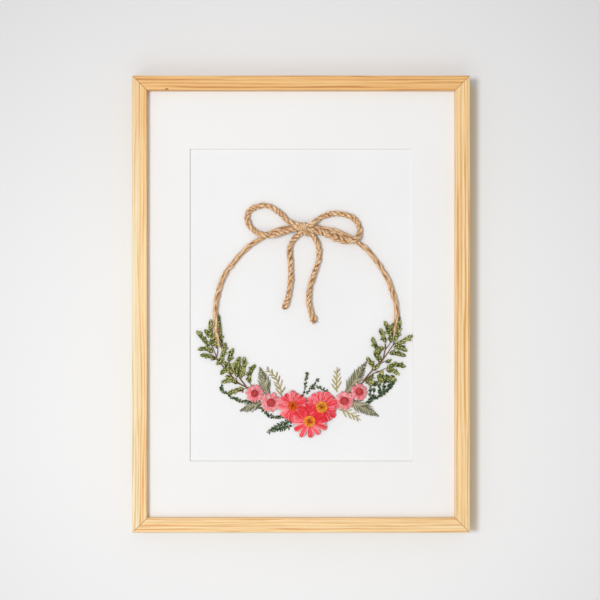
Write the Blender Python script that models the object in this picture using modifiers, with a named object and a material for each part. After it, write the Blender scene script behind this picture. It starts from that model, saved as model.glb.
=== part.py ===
"""Pressed flower frame: four mitred pine rails round a white mat, and on the card in the mat's
window a half wreath of pressed daisies, ferns and leafy sprays on a hoop and a bow of jute cord.

Metres, +Z up. The frame hangs upright with its front towards -Y. The origin is where the wall's
nail carries the sawtooth hanger, so the wall is the plane y = 0.

The wreath is laid out flat on its card. A place on the card is (across, up) in millimetres from
the middle of the frame, and a lift is a height above the card's front in millimetres.
"""

import math

import bmesh
import bpy
from mathutils import Matrix, Vector

MM = 0.001
GAP = 0.3

# Driving dimensions, in millimetres.
FRAME_WIDTH = 317
FRAME_HEIGHT = 429
FRAME_DEPTH = 22
FACE_WIDTH = 14
LIP_DEPTH = 6.5
RABBET_WIDTH = 5
OUTER_EDGE_RADIUS = 1.2
INNER_EDGE_RADIUS = 0.8
WALL_CLEARANCE = 2
HANGER_BELOW_TOP = 8.5

INSERT_CLEARANCE = 1
MAT_THICKNESS = 1.4
MAT_BEVEL = 1.4
WINDOW_WIDTH = 206.8
WINDOW_HEIGHT = 290.8
WINDOW_ABOVE_MIDDLE = -0.9
WINDOW_RIGHT_OF_MIDDLE = 0.4
CARD_THICKNESS = 0.6
BACK_THICKNESS = 3

HOOP_CENTRE = (4.1, -12.0)
HOOP_RADIUS = 85.3
HOOP_START_DEGREES = -11.5
HOOP_END_DEGREES = 199.5
HOOP_CORD = 4.5
BOW_CORD = 5.0

# Places worked out from them.
FRONT_Y = -(FRAME_DEPTH + WALL_CLEARANCE)
BACK_Y = -WALL_CLEARANCE
MIDDLE_Z = HANGER_BELOW_TOP - FRAME_HEIGHT / 2
INSERT_WIDTH = FRAME_WIDTH - 2 * (FACE_WIDTH - RABBET_WIDTH + INSERT_CLEARANCE)
INSERT_HEIGHT = FRAME_HEIGHT - 2 * (FACE_WIDTH - RABBET_WIDTH + INSERT_CLEARANCE)
MAT_FRONT_Y = FRONT_Y + LIP_DEPTH + GAP
CARD_FRONT_Y = MAT_FRONT_Y + MAT_THICKNESS + GAP
BACK_BOARD_FRONT_Y = CARD_FRONT_Y + CARD_THICKNESS + GAP
POINT_FRONT_Y = BACK_BOARD_FRONT_Y + BACK_THICKNESS + GAP

PART_NAME = "pressed_flower_frame"


def clear_scene():
    for thing in list(bpy.data.objects):
        bpy.data.objects.remove(thing, do_unlink=True)


def new_collection(name):
    collection = bpy.data.collections.new(name)
    bpy.context.scene.collection.children.link(collection)
    return collection


def new_material(name, color, roughness, metallic=0.0):
    material = bpy.data.materials.new(name)
    material.use_nodes = True
    shader = material.node_tree.nodes["Principled BSDF"]
    shader.inputs["Base Color"].default_value = (*color, 1.0)
    shader.inputs["Roughness"].default_value = roughness
    shader.inputs["Metallic"].default_value = metallic
    return material


clear_scene()
PARTS = new_collection(PART_NAME)
CUTTERS = new_collection("cutters")

PINE = new_material("pine", (0.82, 0.57, 0.30), 0.5)
MAT_WHITE = new_material("mat_white", (0.86, 0.86, 0.84), 0.9)
CARD_WHITE = new_material("card_white", (0.86, 0.87, 0.88), 0.9)
HARDBOARD = new_material("hardboard", (0.36, 0.22, 0.12), 0.8)
STEEL = new_material("steel", (0.62, 0.62, 0.60), 0.35, 1.0)
JUTE = new_material("jute", (0.58, 0.40, 0.23), 0.95)
CORAL = new_material("coral_petal", (0.83, 0.10, 0.13), 0.8)
YELLOW_DISC = new_material("yellow_disc", (0.75, 0.33, 0.05), 0.9)
PINK = new_material("pink_petal", (0.85, 0.33, 0.38), 0.8)
ROSE_DISC = new_material("rose_disc", (0.42, 0.08, 0.11), 0.9)
GREY_LEAF = new_material("grey_leaf", (0.24, 0.24, 0.14), 0.85)
OLIVE_FERN = new_material("olive_fern", (0.40, 0.35, 0.14), 0.85)
SPRAY_GREEN = new_material("spray_green", (0.15, 0.20, 0.04), 0.85)
DARK_GREEN = new_material("dark_green", (0.03, 0.07, 0.04), 0.85)


def add_object(name, data, collection=PARTS, material=None):
    thing = bpy.data.objects.new(name, data)
    collection.objects.link(thing)
    if material is not None:
        data.materials.append(material)
    return thing


def on_card(place, lift):
    """The point in metres at this place on the card and height above it."""
    across, up = place
    return Vector((across, CARD_FRONT_Y - lift, MIDDLE_Z + up)) * MM


def solid_from(curve_object, name, collection, material=None):
    """A curve object turned into a closed mesh object, its caps welded to its sides."""
    bpy.context.view_layer.update()
    evaluated = curve_object.evaluated_get(bpy.context.evaluated_depsgraph_get())
    mesh = bpy.data.meshes.new_from_object(evaluated)
    work = bmesh.new()
    work.from_mesh(mesh)
    bmesh.ops.remove_doubles(work, verts=work.verts, dist=0.00001)
    work.to_mesh(mesh)
    work.free()
    mesh.materials.clear()
    place = curve_object.matrix_world.copy()
    bpy.data.objects.remove(curve_object, do_unlink=True)
    thing = add_object(name, mesh, collection, material)
    thing.matrix_world = place
    return thing


def outline_curve(name, outlines, thickness):
    """A flat curve filled between closed outlines of (x, y) in mm, as thick as asked along Z."""
    curve = bpy.data.curves.new(name, "CURVE")
    curve.dimensions = "2D"
    curve.fill_mode = "BOTH"
    curve.extrude = thickness * MM / 2
    for outline in outlines:
        spline = curve.splines.new("POLY")
        spline.points.add(len(outline) - 1)
        for point, (x, y) in zip(spline.points, outline):
            point.co = (x * MM, y * MM, 0, 1)
        spline.use_cyclic_u = True
    return curve


def circle(centre, radius, corners):
    angles = [2 * math.pi * i / corners for i in range(corners)]
    return [(centre[0] + radius * math.cos(a), centre[1] + radius * math.sin(a)) for a in angles]


def plate_on_card(name, outline, lift, thickness, material):
    """A flat pressed piece: an outline in card places, from this lift up by its thickness."""
    curve = outline_curve(name, [outline], thickness)
    thing = add_object(name, curve, PARTS, material)
    thing.rotation_euler = (math.pi / 2, 0, 0)
    thing.location = on_card((0, 0), lift + thickness / 2)
    return thing


def box(name, size, centre, collection=PARTS, material=None):
    """A box of this size about this centre, both in millimetres."""
    work = bmesh.new()
    bmesh.ops.create_cube(work, size=1.0)
    bmesh.ops.scale(work, vec=Vector(size) * MM, verts=work.verts)
    bmesh.ops.translate(work, vec=Vector(centre) * MM, verts=work.verts)
    mesh = bpy.data.meshes.new(name)
    work.to_mesh(mesh)
    work.free()
    return add_object(name, mesh, collection, material)


def rod_along_y(name, radius, y_from, y_to, across, up, corners=12):
    """A round rod along Y, as a cutter for a nail hole, in millimetres from the origin."""
    work = bmesh.new()
    bmesh.ops.create_cone(
        work, cap_ends=True, segments=corners, radius1=radius * MM, radius2=radius * MM,
        depth=(y_to - y_from) * MM,
    )
    bmesh.ops.rotate(work, matrix=Matrix.Rotation(math.pi / 2, 3, "X"), verts=work.verts)
    centre = Vector((across, (y_from + y_to) / 2, up)) * MM
    bmesh.ops.translate(work, vec=centre, verts=work.verts)
    mesh = bpy.data.meshes.new(name)
    work.to_mesh(mesh)
    work.free()
    return add_object(name, mesh, CUTTERS)


def combine(thing, other, operation):
    """A Boolean on thing. The other object becomes a hidden cutter."""
    other.hide_render = True
    other.display_type = "WIRE"
    modifier = thing.modifiers.new(other.name, "BOOLEAN")
    modifier.operation = operation
    modifier.solver = "EXACT"
    modifier.object = other


def turned(name, profile, steps, material):
    """A turned piece about Z, from (radius, height) in mm down its outer side."""
    mesh = bpy.data.meshes.new(name)
    edges = [(i, i + 1) for i in range(len(profile) - 1)]
    mesh.from_pydata([(r * MM, 0, z * MM) for r, z in profile], edges, [])
    thing = add_object(name, mesh, PARTS, material)
    screw = thing.modifiers.new("turn", "SCREW")
    screw.axis = "Z"
    screw.steps = steps
    screw.render_steps = steps
    screw.use_merge_vertices = True
    screw.merge_threshold = 0.00001
    return thing


# ---------------------------------------------------------------- frame rails

HANGER_NAIL_SPACING = 37
NAIL_RADIUS = 0.6
NAIL_HEAD_RADIUS = 1.8
NAIL_HEAD_THICKNESS = 0.6
NAIL_LENGTH = 10

POINT_LENGTH = 15
POINT_WIDTH = 8.4
POINT_THICKNESS = 0.5
POINT_IN_WOOD = 4.2
POINT_PLACES = {"left": 110, "right": 110, "top": 75, "bottom": 75}


def arc(centre, radius, start, end, steps):
    """Points on an arc, with its angles in degrees."""
    points = []
    for i in range(steps + 1):
        angle = math.radians(start + (end - start) * i / steps)
        points.append((centre[0] + radius * math.cos(angle), centre[1] + radius * math.sin(angle)))
    return points


def rail_section():
    """Across from the outer edge and back from the front: a lip in front of a rabbet."""
    outer = arc((OUTER_EDGE_RADIUS, OUTER_EDGE_RADIUS), OUTER_EDGE_RADIUS, 180, 270, 3)
    inner_centre = (FACE_WIDTH - INNER_EDGE_RADIUS, INNER_EDGE_RADIUS)
    inner = arc(inner_centre, INNER_EDGE_RADIUS, 270, 360, 3)
    rabbet = [
        (FACE_WIDTH, LIP_DEPTH),
        (FACE_WIDTH - RABBET_WIDTH, LIP_DEPTH),
        (FACE_WIDTH - RABBET_WIDTH, FRAME_DEPTH),
        (0, FRAME_DEPTH),
    ]
    return outer + inner + rabbet


def side_matrix(side):
    """Turns a piece made for the left side, about the middle of the frame, to another side."""
    turns = {"left": 0, "top": 90, "right": 180, "bottom": 270}
    half_across = FRAME_WIDTH / 2 if side in ("left", "right") else FRAME_HEIGHT / 2
    middle = Matrix.Translation(Vector((0, FRONT_Y, MIDDLE_Z)) * MM)
    turn = Matrix.Rotation(math.radians(turns[side]), 4, "Y")
    return middle @ turn @ Matrix.Translation(Vector((-half_across, 0, 0)) * MM)


def make_rail(side):
    half_length = FRAME_HEIGHT / 2 if side in ("left", "right") else FRAME_WIDTH / 2
    curve = outline_curve("rail", [rail_section()], 2 * half_length)
    rail = solid_from(add_object("rail", curve, CUTTERS), "rail_" + side, PARTS, PINE)
    mitre_inset = GAP / math.sqrt(2)
    for vertex in rail.data.vertices:
        reach = half_length * MM - vertex.co.x - mitre_inset * MM
        vertex.co.z = math.copysign(reach, vertex.co.z)
    rail.matrix_world = side_matrix(side)
    return rail


def point_depth():
    """How far back from the frame's front a framer's point starts."""
    return POINT_FRONT_Y - FRONT_Y


def cut_point_slot(rail, side, along):
    slot_depth = POINT_IN_WOOD + GAP
    rabbet_wall = FACE_WIDTH - RABBET_WIDTH
    size = (slot_depth + GAP, POINT_THICKNESS + 2 * GAP, POINT_WIDTH + 2 * GAP)
    centre = (
        rabbet_wall - slot_depth / 2 + GAP / 2, point_depth() + POINT_THICKNESS / 2, along,
    )
    cutter = box("slot", size, centre, CUTTERS)
    cutter.matrix_world = side_matrix(side)
    combine(rail, cutter, "DIFFERENCE")


def make_framers_point(number, side, along):
    """A flat steel point: its tip is driven into the rabbet's wall and its tongue holds the board."""
    tip = -POINT_IN_WOOD
    shoulder = tip + POINT_WIDTH / 2
    tongue = POINT_LENGTH - POINT_IN_WOOD
    half = POINT_WIDTH / 2
    corner = 1.5
    outline = [
        (tip, -0.6), (shoulder, -half), (tongue - corner, -half), (tongue, corner - half),
        (tongue, half - corner), (tongue - corner, half), (shoulder, half), (tip, 0.6),
    ]
    hole = circle((tongue - 3.6, 0), 1.4, 8)
    curve = outline_curve("point", [outline, hole], POINT_THICKNESS)
    name = f"framers_point_{number}"
    point = solid_from(add_object("point", curve, CUTTERS), name, PARTS, STEEL)
    lie_flat = Matrix.Rotation(math.pi / 2, 4, "X")
    depth = point_depth() + POINT_THICKNESS / 2
    place = Vector((FACE_WIDTH - RABBET_WIDTH, depth, along)) * MM
    point.matrix_world = side_matrix(side) @ Matrix.Translation(place) @ lie_flat
    return point


def make_frame():
    number = 0
    for side in ("left", "right", "top", "bottom"):
        rail = make_rail(side)
        for along in (-POINT_PLACES[side], POINT_PLACES[side]):
            number += 1
            cut_point_slot(rail, side, along)
            make_framers_point(number, side, along)
        if side == "top":
            for across in (-HANGER_NAIL_SPACING / 2, HANGER_NAIL_SPACING / 2):
                hole = rod_along_y(
                    "nail_hole", NAIL_RADIUS + GAP, BACK_Y - NAIL_LENGTH, BACK_Y + 1,
                    across, HANGER_MIDDLE_Z,
                )
                combine(rail, hole, "DIFFERENCE")


# ---------------------------------------------------------------- mat, card and board

def make_mat():
    centre_y = MAT_FRONT_Y + MAT_THICKNESS / 2
    size = (INSERT_WIDTH, MAT_THICKNESS, INSERT_HEIGHT)
    mat = box("mat_board", size, (0, centre_y, MIDDLE_Z), PARTS, MAT_WHITE)
    reach = 1.0
    depth = MAT_THICKNESS + 2 * reach
    window_size = (WINDOW_WIDTH, depth, WINDOW_HEIGHT)
    middle = (WINDOW_RIGHT_OF_MIDDLE, centre_y, MIDDLE_Z + WINDOW_ABOVE_MIDDLE)
    window = box("window", window_size, middle, CUTTERS)
    slope = MAT_BEVEL / MAT_THICKNESS
    for vertex in window.data.vertices:
        ahead = MAT_FRONT_Y + MAT_THICKNESS - vertex.co.y / MM
        spread = ahead * slope * MM
        vertex.co.x += math.copysign(spread, vertex.co.x - middle[0] * MM)
        vertex.co.z += math.copysign(spread, vertex.co.z - middle[2] * MM)
    combine(mat, window, "DIFFERENCE")


def make_sheets():
    card_y = CARD_FRONT_Y + CARD_THICKNESS / 2
    card_size = (INSERT_WIDTH, CARD_THICKNESS, INSERT_HEIGHT)
    box("wreath_card", card_size, (0, card_y, MIDDLE_Z), PARTS, CARD_WHITE)
    board_y = BACK_BOARD_FRONT_Y + BACK_THICKNESS / 2
    board_size = (INSERT_WIDTH, BACK_THICKNESS, INSERT_HEIGHT)
    box("back_board", board_size, (0, board_y, MIDDLE_Z), PARTS, HARDBOARD)


# ---------------------------------------------------------------- hanger

HANGER_LENGTH = 45
HANGER_HEIGHT = 7.6
HANGER_SHEET = 0.8
HANGER_RISE = 0.9
HANGER_PAD = 8
TOOTH_PITCH = 2.0
TOOTH_DEPTH = 1.6
TEETH = 11
HANGER_MIDDLE_Z = HANGER_HEIGHT / 2 - TOOTH_DEPTH


def make_hanger():
    """A strip whose two ends lie on the rail and whose toothed middle stands off it."""
    end = HANGER_LENGTH / 2
    low = BACK_Y + GAP
    bend = end - HANGER_PAD
    step = HANGER_RISE
    wall_side = [
        (end, low + HANGER_SHEET), (bend, low + HANGER_SHEET),
        (bend - step, low + HANGER_RISE + HANGER_SHEET),
        (step - bend, low + HANGER_RISE + HANGER_SHEET),
        (-bend, low + HANGER_SHEET), (-end, low + HANGER_SHEET),
    ]
    rail_side = [
        (-end, low), (-bend, low), (step - bend, low + HANGER_RISE),
        (bend - step, low + HANGER_RISE), (bend, low), (end, low),
    ]
    curve = outline_curve("strip", [wall_side + rail_side], HANGER_HEIGHT)
    strip = solid_from(add_object("strip", curve, CUTTERS), "sawtooth_hanger", PARTS, STEEL)
    strip.location = (0, 0, HANGER_MIDDLE_Z * MM)

    teeth = [(-TEETH * TOOTH_PITCH / 2, -TOOTH_DEPTH)]
    for tooth in range(TEETH):
        left = (tooth - TEETH / 2) * TOOTH_PITCH
        teeth += [(left + TOOTH_PITCH / 2, 0), (left + TOOTH_PITCH, -TOOTH_DEPTH)]
    teeth += [(TEETH * TOOTH_PITCH / 2, -2 * TOOTH_DEPTH), (-TEETH * TOOTH_PITCH / 2, -2 * TOOTH_DEPTH)]
    saw_curve = outline_curve("saw", [teeth], 6)
    saw = solid_from(add_object("saw", saw_curve, CUTTERS), "saw_teeth", CUTTERS)
    saw.rotation_euler = (math.pi / 2, 0, 0)
    combine(strip, saw, "DIFFERENCE")

    for side, name in ((-1, "hanger_nail_left"), (1, "hanger_nail_right")):
        across = side * HANGER_NAIL_SPACING / 2
        hole = rod_along_y("pad_hole", NAIL_RADIUS + GAP, BACK_Y - 1, 1, across, HANGER_MIDDLE_Z)
        combine(strip, hole, "DIFFERENCE")
        head_y = low + HANGER_SHEET + GAP
        make_nail(name, across, head_y)


def make_nail(name, across, head_y):
    tip = -NAIL_LENGTH
    profile = [
        (0, NAIL_HEAD_THICKNESS), (NAIL_HEAD_RADIUS, NAIL_HEAD_THICKNESS), (NAIL_HEAD_RADIUS, 0),
        (NAIL_RADIUS, 0), (NAIL_RADIUS, tip + 1.5), (0, tip + GAP),
    ]
    nail = turned(name, profile, 12, STEEL)
    nail.rotation_euler = (-math.pi / 2, 0, 0)
    nail.location = Vector((across, head_y, HANGER_MIDDLE_Z)) * MM


# ---------------------------------------------------------------- jute cord

def smooth_through(points, spacing):
    """Points at about this spacing along a smooth curve through the given ones."""
    padded = [points[0], *points, points[-1]]
    fine = []
    pieces = 12
    for i in range(1, len(padded) - 2):
        before, start, end, after = (Vector(p) for p in padded[i - 1:i + 3])
        for k in range(pieces):
            t = k / pieces
            fine.append(
                0.5 * (2 * start + (end - before) * t
                       + (2 * before - 5 * start + 4 * end - after) * t ** 2
                       + (3 * start - before - 3 * end + after) * t ** 3)
            )
    fine.append(Vector(points[-1]))
    length = sum((b - a).length for a, b in zip(fine, fine[1:]))
    count = max(2, round(length / spacing))
    chosen, run, target = [fine[0]], 0.0, 1
    for a, b in zip(fine, fine[1:]):
        step = (b - a).length
        while target < count and run + step >= target * length / count:
            share = (target * length / count - run) / step
            chosen.append(a.lerp(b, share))
            target += 1
        run += step
    chosen.append(fine[-1])
    return chosen


def tube_curve(name, points, radii, resolution=2):
    """A tube through points in metres, with a radius in metres at each."""
    curve = bpy.data.curves.new(name, "CURVE")
    curve.dimensions = "3D"
    curve.bevel_depth = 1.0
    curve.bevel_resolution = resolution
    curve.use_fill_caps = True
    curve.twist_mode = "MINIMUM"
    spline = curve.splines.new("POLY")
    spline.points.add(len(points) - 1)
    for point, place, radius in zip(spline.points, points, radii):
        point.co = (*place, 1)
        point.radius = radius
    return curve


HOOP_LIFT = GAP + HOOP_CORD / 2
BOW_LIFT = GAP + BOW_CORD / 2
CROSSING_CLIMB = 5.1
CROSSING_REACH = 10.0

LEFT_LOOP = [
    (2.0, 73.0), (-4.5, 74.4), (-11.7, 77.7), (-18.0, 84.0), (-24.3, 89.1), (-29.4, 92.0),
    (-35.2, 92.8), (-41.1, 92.0), (-47.4, 89.1), (-50.6, 84.5), (-50.6, 78.6), (-47.7, 72.8),
    (-43.6, 68.6), (-37.5, 65.6), (-30.5, 64.6), (-24.0, 65.2), (-17.5, 67.3), (-11.0, 69.6),
    (-4.0, 71.0), (1.0, 71.0),
]
RIGHT_LOOP = [
    (3.0, 72.4), (10.0, 75.0), (15.8, 79.8), (23.0, 83.6), (30.2, 85.3), (37.3, 84.9),
    (44.5, 83.4), (50.7, 79.3), (54.6, 73.2), (55.0, 66.8), (52.0, 61.8), (46.0, 59.4),
    (39.4, 59.2), (32.4, 61.6), (25.0, 64.6), (17.5, 67.4), (10.0, 69.6), (4.0, 70.4),
]
LEFT_TAIL = [
    (1.4, 69.0), (-2.6, 65.0), (-6.6, 61.3), (-9.7, 56.2), (-10.8, 50.5), (-10.2, 41.8),
    (-9.8, 33.4), (-9.6, 25.3), (-10.4, 17.3), (-11.6, 9.2), (-13.6, 1.8), (-16.4, -4.3),
]
RIGHT_TAIL = [
    (4.6, 68.8), (9.4, 66.2), (13.4, 61.4), (15.9, 55.4), (17.1, 48.6), (16.5, 42.5),
    (14.5, 34.9), (11.3, 25.8), (9.0, 18.3), (7.5, 11.0), (7.3, 3.8), (8.4, -4.3),
    (10.4, -11.3), (12.7, -16.7),
]
TAIL_END_SWELLING = 1.1
KNOT_CENTRE = (2.3, 70.6)
KNOT_LIFT = 7.8
KNOT_HALF = (4.6, 2.6, 6.4)


def distance_from_hoop(place):
    across = place[0] - HOOP_CENTRE[0]
    up = place[1] - HOOP_CENTRE[1]
    return abs(math.hypot(across, up) - HOOP_RADIUS)


def bow_lift(place):
    """The bow's cord lies on the card, and climbs over the hoop wherever the two cross."""
    near = max(0.0, 1 - distance_from_hoop(place) / CROSSING_REACH)
    return BOW_LIFT + CROSSING_CLIMB * (0.5 - 0.5 * math.cos(math.pi * near))


def make_hoop():
    steps = 30
    sweep = HOOP_END_DEGREES - HOOP_START_DEGREES
    angles = [math.radians(HOOP_START_DEGREES + sweep * i / steps) for i in range(steps + 1)]
    places = [
        (HOOP_CENTRE[0] + HOOP_RADIUS * math.cos(a), HOOP_CENTRE[1] + HOOP_RADIUS * math.sin(a))
        for a in angles
    ]
    points = [on_card(place, HOOP_LIFT) for place in places]
    curve = tube_curve("jute_hoop", points, [HOOP_CORD / 2 * MM] * len(points))
    add_object("jute_hoop", curve, PARTS, JUTE)


def make_strand(name, route, end_swelling=1.0):
    """One stretch of the bow's cord through its places on the card."""
    places = smooth_through(route, 6.5)
    points = [on_card(place, bow_lift(place)) for place in places]
    radii = [BOW_CORD / 2 * MM] * len(points)
    radii[-1] *= end_swelling
    curve = tube_curve(name, points, radii)
    return solid_from(add_object(name, curve, CUTTERS), name, CUTTERS)


def make_bow():
    """The knot, with both loops and both tails joined into it."""
    work = bmesh.new()
    bmesh.ops.create_uvsphere(work, u_segments=14, v_segments=9, radius=1.0)
    bmesh.ops.scale(work, vec=Vector(KNOT_HALF) * MM, verts=work.verts)
    bmesh.ops.translate(work, vec=on_card(KNOT_CENTRE, KNOT_LIFT), verts=work.verts)
    mesh = bpy.data.meshes.new("jute_bow")
    work.to_mesh(mesh)
    work.free()
    bow = add_object("jute_bow", mesh, PARTS, JUTE)
    half = len(LEFT_LOOP) // 2
    strands = {
        "left_loop_out": LEFT_LOOP[:half + 1],
        "left_loop_back": LEFT_LOOP[half - 1:],
        "right_loop_out": RIGHT_LOOP[:half + 1],
        "right_loop_back": RIGHT_LOOP[half - 1:],
        "left_tail": LEFT_TAIL,
        "right_tail": RIGHT_TAIL,
    }
    for name, route in strands.items():
        swelling = TAIL_END_SWELLING if name == "right_tail" else 1.0
        combine(bow, make_strand(name, route, swelling), "UNION")


# ---------------------------------------------------------------- daisies

SMALL_PETAL_LIFT = 3.6
LARGE_PETAL_LIFT = 4.3
TOP_PETAL_LIFT = 5.0
PETAL_THICKNESS = 0.4
DISC_THICKNESS = 1.0

# Middle on the card, petal radius, disc radius, number of petals, lift of the petals.
CORAL_DAISIES = [
    ((-7.8, -95.8), 13.1, 4.8, 15, LARGE_PETAL_LIFT),
    ((19.4, -96.8), 13.6, 5.0, 16, LARGE_PETAL_LIFT),
    ((8.0, -110.2), 15.2, 5.4, 17, TOP_PETAL_LIFT),
]
PINK_DAISIES = [
    ((-43.9, -84.0), 8.0, 3.8, 14, SMALL_PETAL_LIFT),
    ((-28.4, -92.7), 9.2, 4.2, 15, SMALL_PETAL_LIFT),
    ((40.7, -91.0), 8.9, 4.1, 14, SMALL_PETAL_LIFT),
    ((54.6, -82.4), 7.7, 3.8, 13, SMALL_PETAL_LIFT),
]


def rosette(centre, radius, petals, valley, reach_of):
    """The outline of a ring of blunt petals. reach_of gives each petal's reach from its angle."""
    outline = []
    for petal in range(petals):
        middle = 2 * math.pi * petal / petals
        reach = radius * reach_of(middle)
        half = math.pi / petals
        for turn, distance in ((-half, valley * radius), (-0.62 * half, 0.88 * reach),
                               (0.0, reach), (0.62 * half, 0.88 * reach)):
            angle = middle + turn
            outline.append(
                (centre[0] + distance * math.cos(angle), centre[1] + distance * math.sin(angle))
            )
    return outline


def make_disc(name, centre, radius, lift, material):
    work = bmesh.new()
    bmesh.ops.create_cone(
        work, cap_ends=True, segments=16, radius1=radius * MM, radius2=0.72 * radius * MM,
        depth=DISC_THICKNESS * MM,
    )
    mesh = bpy.data.meshes.new(name)
    work.to_mesh(mesh)
    work.free()
    disc = add_object(name, mesh, PARTS, material)
    disc.rotation_euler = (math.pi / 2, 0, 0)
    disc.location = on_card(centre, lift + DISC_THICKNESS / 2)


def make_daisy(name, daisy, valley, petal_material, disc_material, reach_of):
    centre, radius, disc_radius, petals, lift = daisy
    outline = rosette(centre, radius, petals, valley, reach_of)
    plate_on_card(name + "_petals", outline, lift, PETAL_THICKNESS, petal_material)
    disc_lift = lift + PETAL_THICKNESS + GAP
    make_disc(name + "_disc", centre, disc_radius, disc_lift, disc_material)


def make_daisies():
    def even(angle):
        return 1 - 0.04 * (1 + math.sin(3 * angle + 1))

    def short_beside_neighbour(angle):
        """The top daisy's petals stop short of its right-hand neighbour's disc."""
        (x, y), (left, down) = CORAL_DAISIES[1][0], CORAL_DAISIES[2][0]
        towards = math.atan2(y - down, x - left)
        turn = abs(math.remainder(angle - towards, 2 * math.pi))
        return 0.76 if turn < 0.5 else even(angle)

    for number, daisy in enumerate(CORAL_DAISIES, 1):
        reach_of = short_beside_neighbour if number == 3 else even
        make_daisy(f"coral_daisy_{number}", daisy, 0.7, CORAL, YELLOW_DISC, reach_of)
    for number, daisy in enumerate(PINK_DAISIES, 1):
        make_daisy(f"pink_daisy_{number}", daisy, 0.64, PINK, ROSE_DISC, even)


# ---------------------------------------------------------------- ferns

SERRATED_LIFT = 1.4
COMB_LIFT = 2.1
LEAF_THICKNESS = 0.4

# Base, tip, width.
SERRATED_LEAVES = [
    ((-32.6, -83.5), (-37.0, -61.4), 7.4),
    ((-38.9, -93.2), (-54.4, -99.2), 6.0),
    ((44.0, -82.8), (58.7, -57.4), 9.0),
    ((48.3, -92.8), (69.1, -103.6), 8.0),
]

COMB_FERNS = [
    [(-18.8, -86.7), (-19.3, -81.0), (-21.7, -74.8), (-25.0, -68.1), (-32.7, -61.0)],
    [(33.6, -82.8), (33.2, -73.9), (33.9, -59.5)],
    [(36.0, -99.3), (45.4, -103.0), (56.2, -109.5)],
]


def serrated_outline(base, tip, width, teeth=8):
    """A pointed leaf with forward teeth along both edges of its midrib."""
    base, tip = Vector(base), Vector(tip)
    along = tip - base
    across = Vector((-along.y, along.x)).normalized()

    def half_width(t):
        return width / 2 * math.sin(math.pi * min(1.0, 0.16 + 0.84 * t)) ** 0.7

    sides = []
    for side in (1, -1):
        points = []
        for tooth in range(teeth):
            notch = (tooth + 0.1) / (teeth + 0.6)
            point = (tooth + 1.0) / (teeth + 0.6)
            points.append(base + along * notch + across * side * half_width(notch) * 0.66)
            points.append(base + along * point + across * side * half_width(point))
        sides.append(points)
    return [*sides[0], tip, *reversed(sides[1])]


def comb_outline(route, leaflet=4.6, leaflet_width=1.0, stem_width=0.9):
    """A thin midrib with narrow leaflets slanting forward on alternate sides, to a bare tip."""
    points = smooth_through(route, 3.6)
    sides = {1: [], -1: []}
    for i in range(len(points) - 1):
        here, ahead = points[i], points[i + 1]
        forward = (ahead - here).normalized()
        across = Vector((-forward.y, forward.x))
        for side in (1, -1):
            shift = 0.25 if side == 1 else 0.75
            root = here.lerp(ahead, shift)
            size = leaflet * (1.0 - 0.55 * (i + shift) / len(points))
            slant = (forward * 0.75 + across * side * 0.66).normalized()
            edge = root + across * side * stem_width / 2
            tip = edge + slant * size
            sides[side] += [
                edge, tip - forward * leaflet_width * 0.35, tip + forward * leaflet_width * 0.35,
                edge + forward * leaflet_width * 1.3,
            ]
    return [*sides[1], points[-1], *reversed(sides[-1])]


def make_ferns():
    for number, (base, tip, width) in enumerate(SERRATED_LEAVES, 1):
        outline = serrated_outline(base, tip, width)
        name = f"serrated_leaf_{number}"
        plate_on_card(name, outline, SERRATED_LIFT, LEAF_THICKNESS, GREY_LEAF)
    for number, route in enumerate(COMB_FERNS, 1):
        name = f"comb_fern_{number}"
        plate_on_card(name, comb_outline(route), COMB_LIFT, LEAF_THICKNESS, OLIVE_FERN)


# ---------------------------------------------------------------- sprays and sprigs

SPRAY_LOW = 1.4
SPRAY_HIGH = 2.5
SPRIG_LOW = 0.3
PRESSED_THICKNESS = 0.8
SIDE_TWIG_THINNING = 0.08
STEM_RADIUS = 0.8
LEAFY_RADIUS = 2.3
SPRIG_RADIUS = 1.4

# Each piece of a spray: its lift, the radius of its far end, and a list of twigs, each through
# places on the card. The first twig is the piece's own stem, and the others grow from it.
LEFT_SPRAY = {
    "left_spray_stem": (SPRAY_LOW, STEM_RADIUS, [
        [(-48.0, -82.5), (-56.8, -73.2), (-66.0, -64.6), (-72.4, -54.6), (-75.6, -46.2)],
    ]),
    "left_spray_tip": (SPRAY_LOW, LEAFY_RADIUS, [
        [(-72.2, -42.6), (-73.6, -34.0), (-75.4, -24.0), (-76.4, -11.2)],
    ]),
    "left_spray_outer_branch": (SPRAY_LOW, LEAFY_RADIUS, [
        [(-78.0, -46.0), (-84.6, -35.0), (-90.6, -27.6), (-98.0, -23.6)],
        [(-82.6, -38.4), (-85.6, -28.0), (-86.8, -16.6)],
        [(-82.0, -39.4), (-89.0, -40.6), (-96.6, -39.4)],
    ]),
    "left_spray_middle_branch": (SPRAY_HIGH, LEAFY_RADIUS, [
        [(-73.8, -54.8), (-81.0, -49.6), (-92.8, -48.0)],
        [(-76.0, -53.0), (-74.0, -45.0), (-71.6, -38.0)],
    ]),
    "left_spray_inner_branch": (SPRAY_HIGH, LEAFY_RADIUS, [
        [(-65.4, -66.4), (-66.0, -56.0), (-64.4, -44.6)],
        [(-65.6, -61.6), (-60.4, -57.0), (-57.2, -51.0)],
        [(-65.8, -63.6), (-71.0, -61.4), (-75.8, -63.6)],
    ]),
    "left_spray_lower_branch": (SPRAY_LOW, LEAFY_RADIUS, [
        [(-57.8, -75.8), (-66.0, -74.4), (-75.2, -70.4)],
    ]),
    "left_spray_low_spike": (SPRAY_LOW, 1.7, [
        [(-50.4, -83.2), (-58.6, -81.2), (-67.0, -84.2)],
    ]),
    "left_spray_upright_sprig": (SPRAY_LOW, 1.9, [
        [(-45.2, -80.0), (-47.6, -68.0), (-44.6, -58.0)],
    ]),
}
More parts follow.
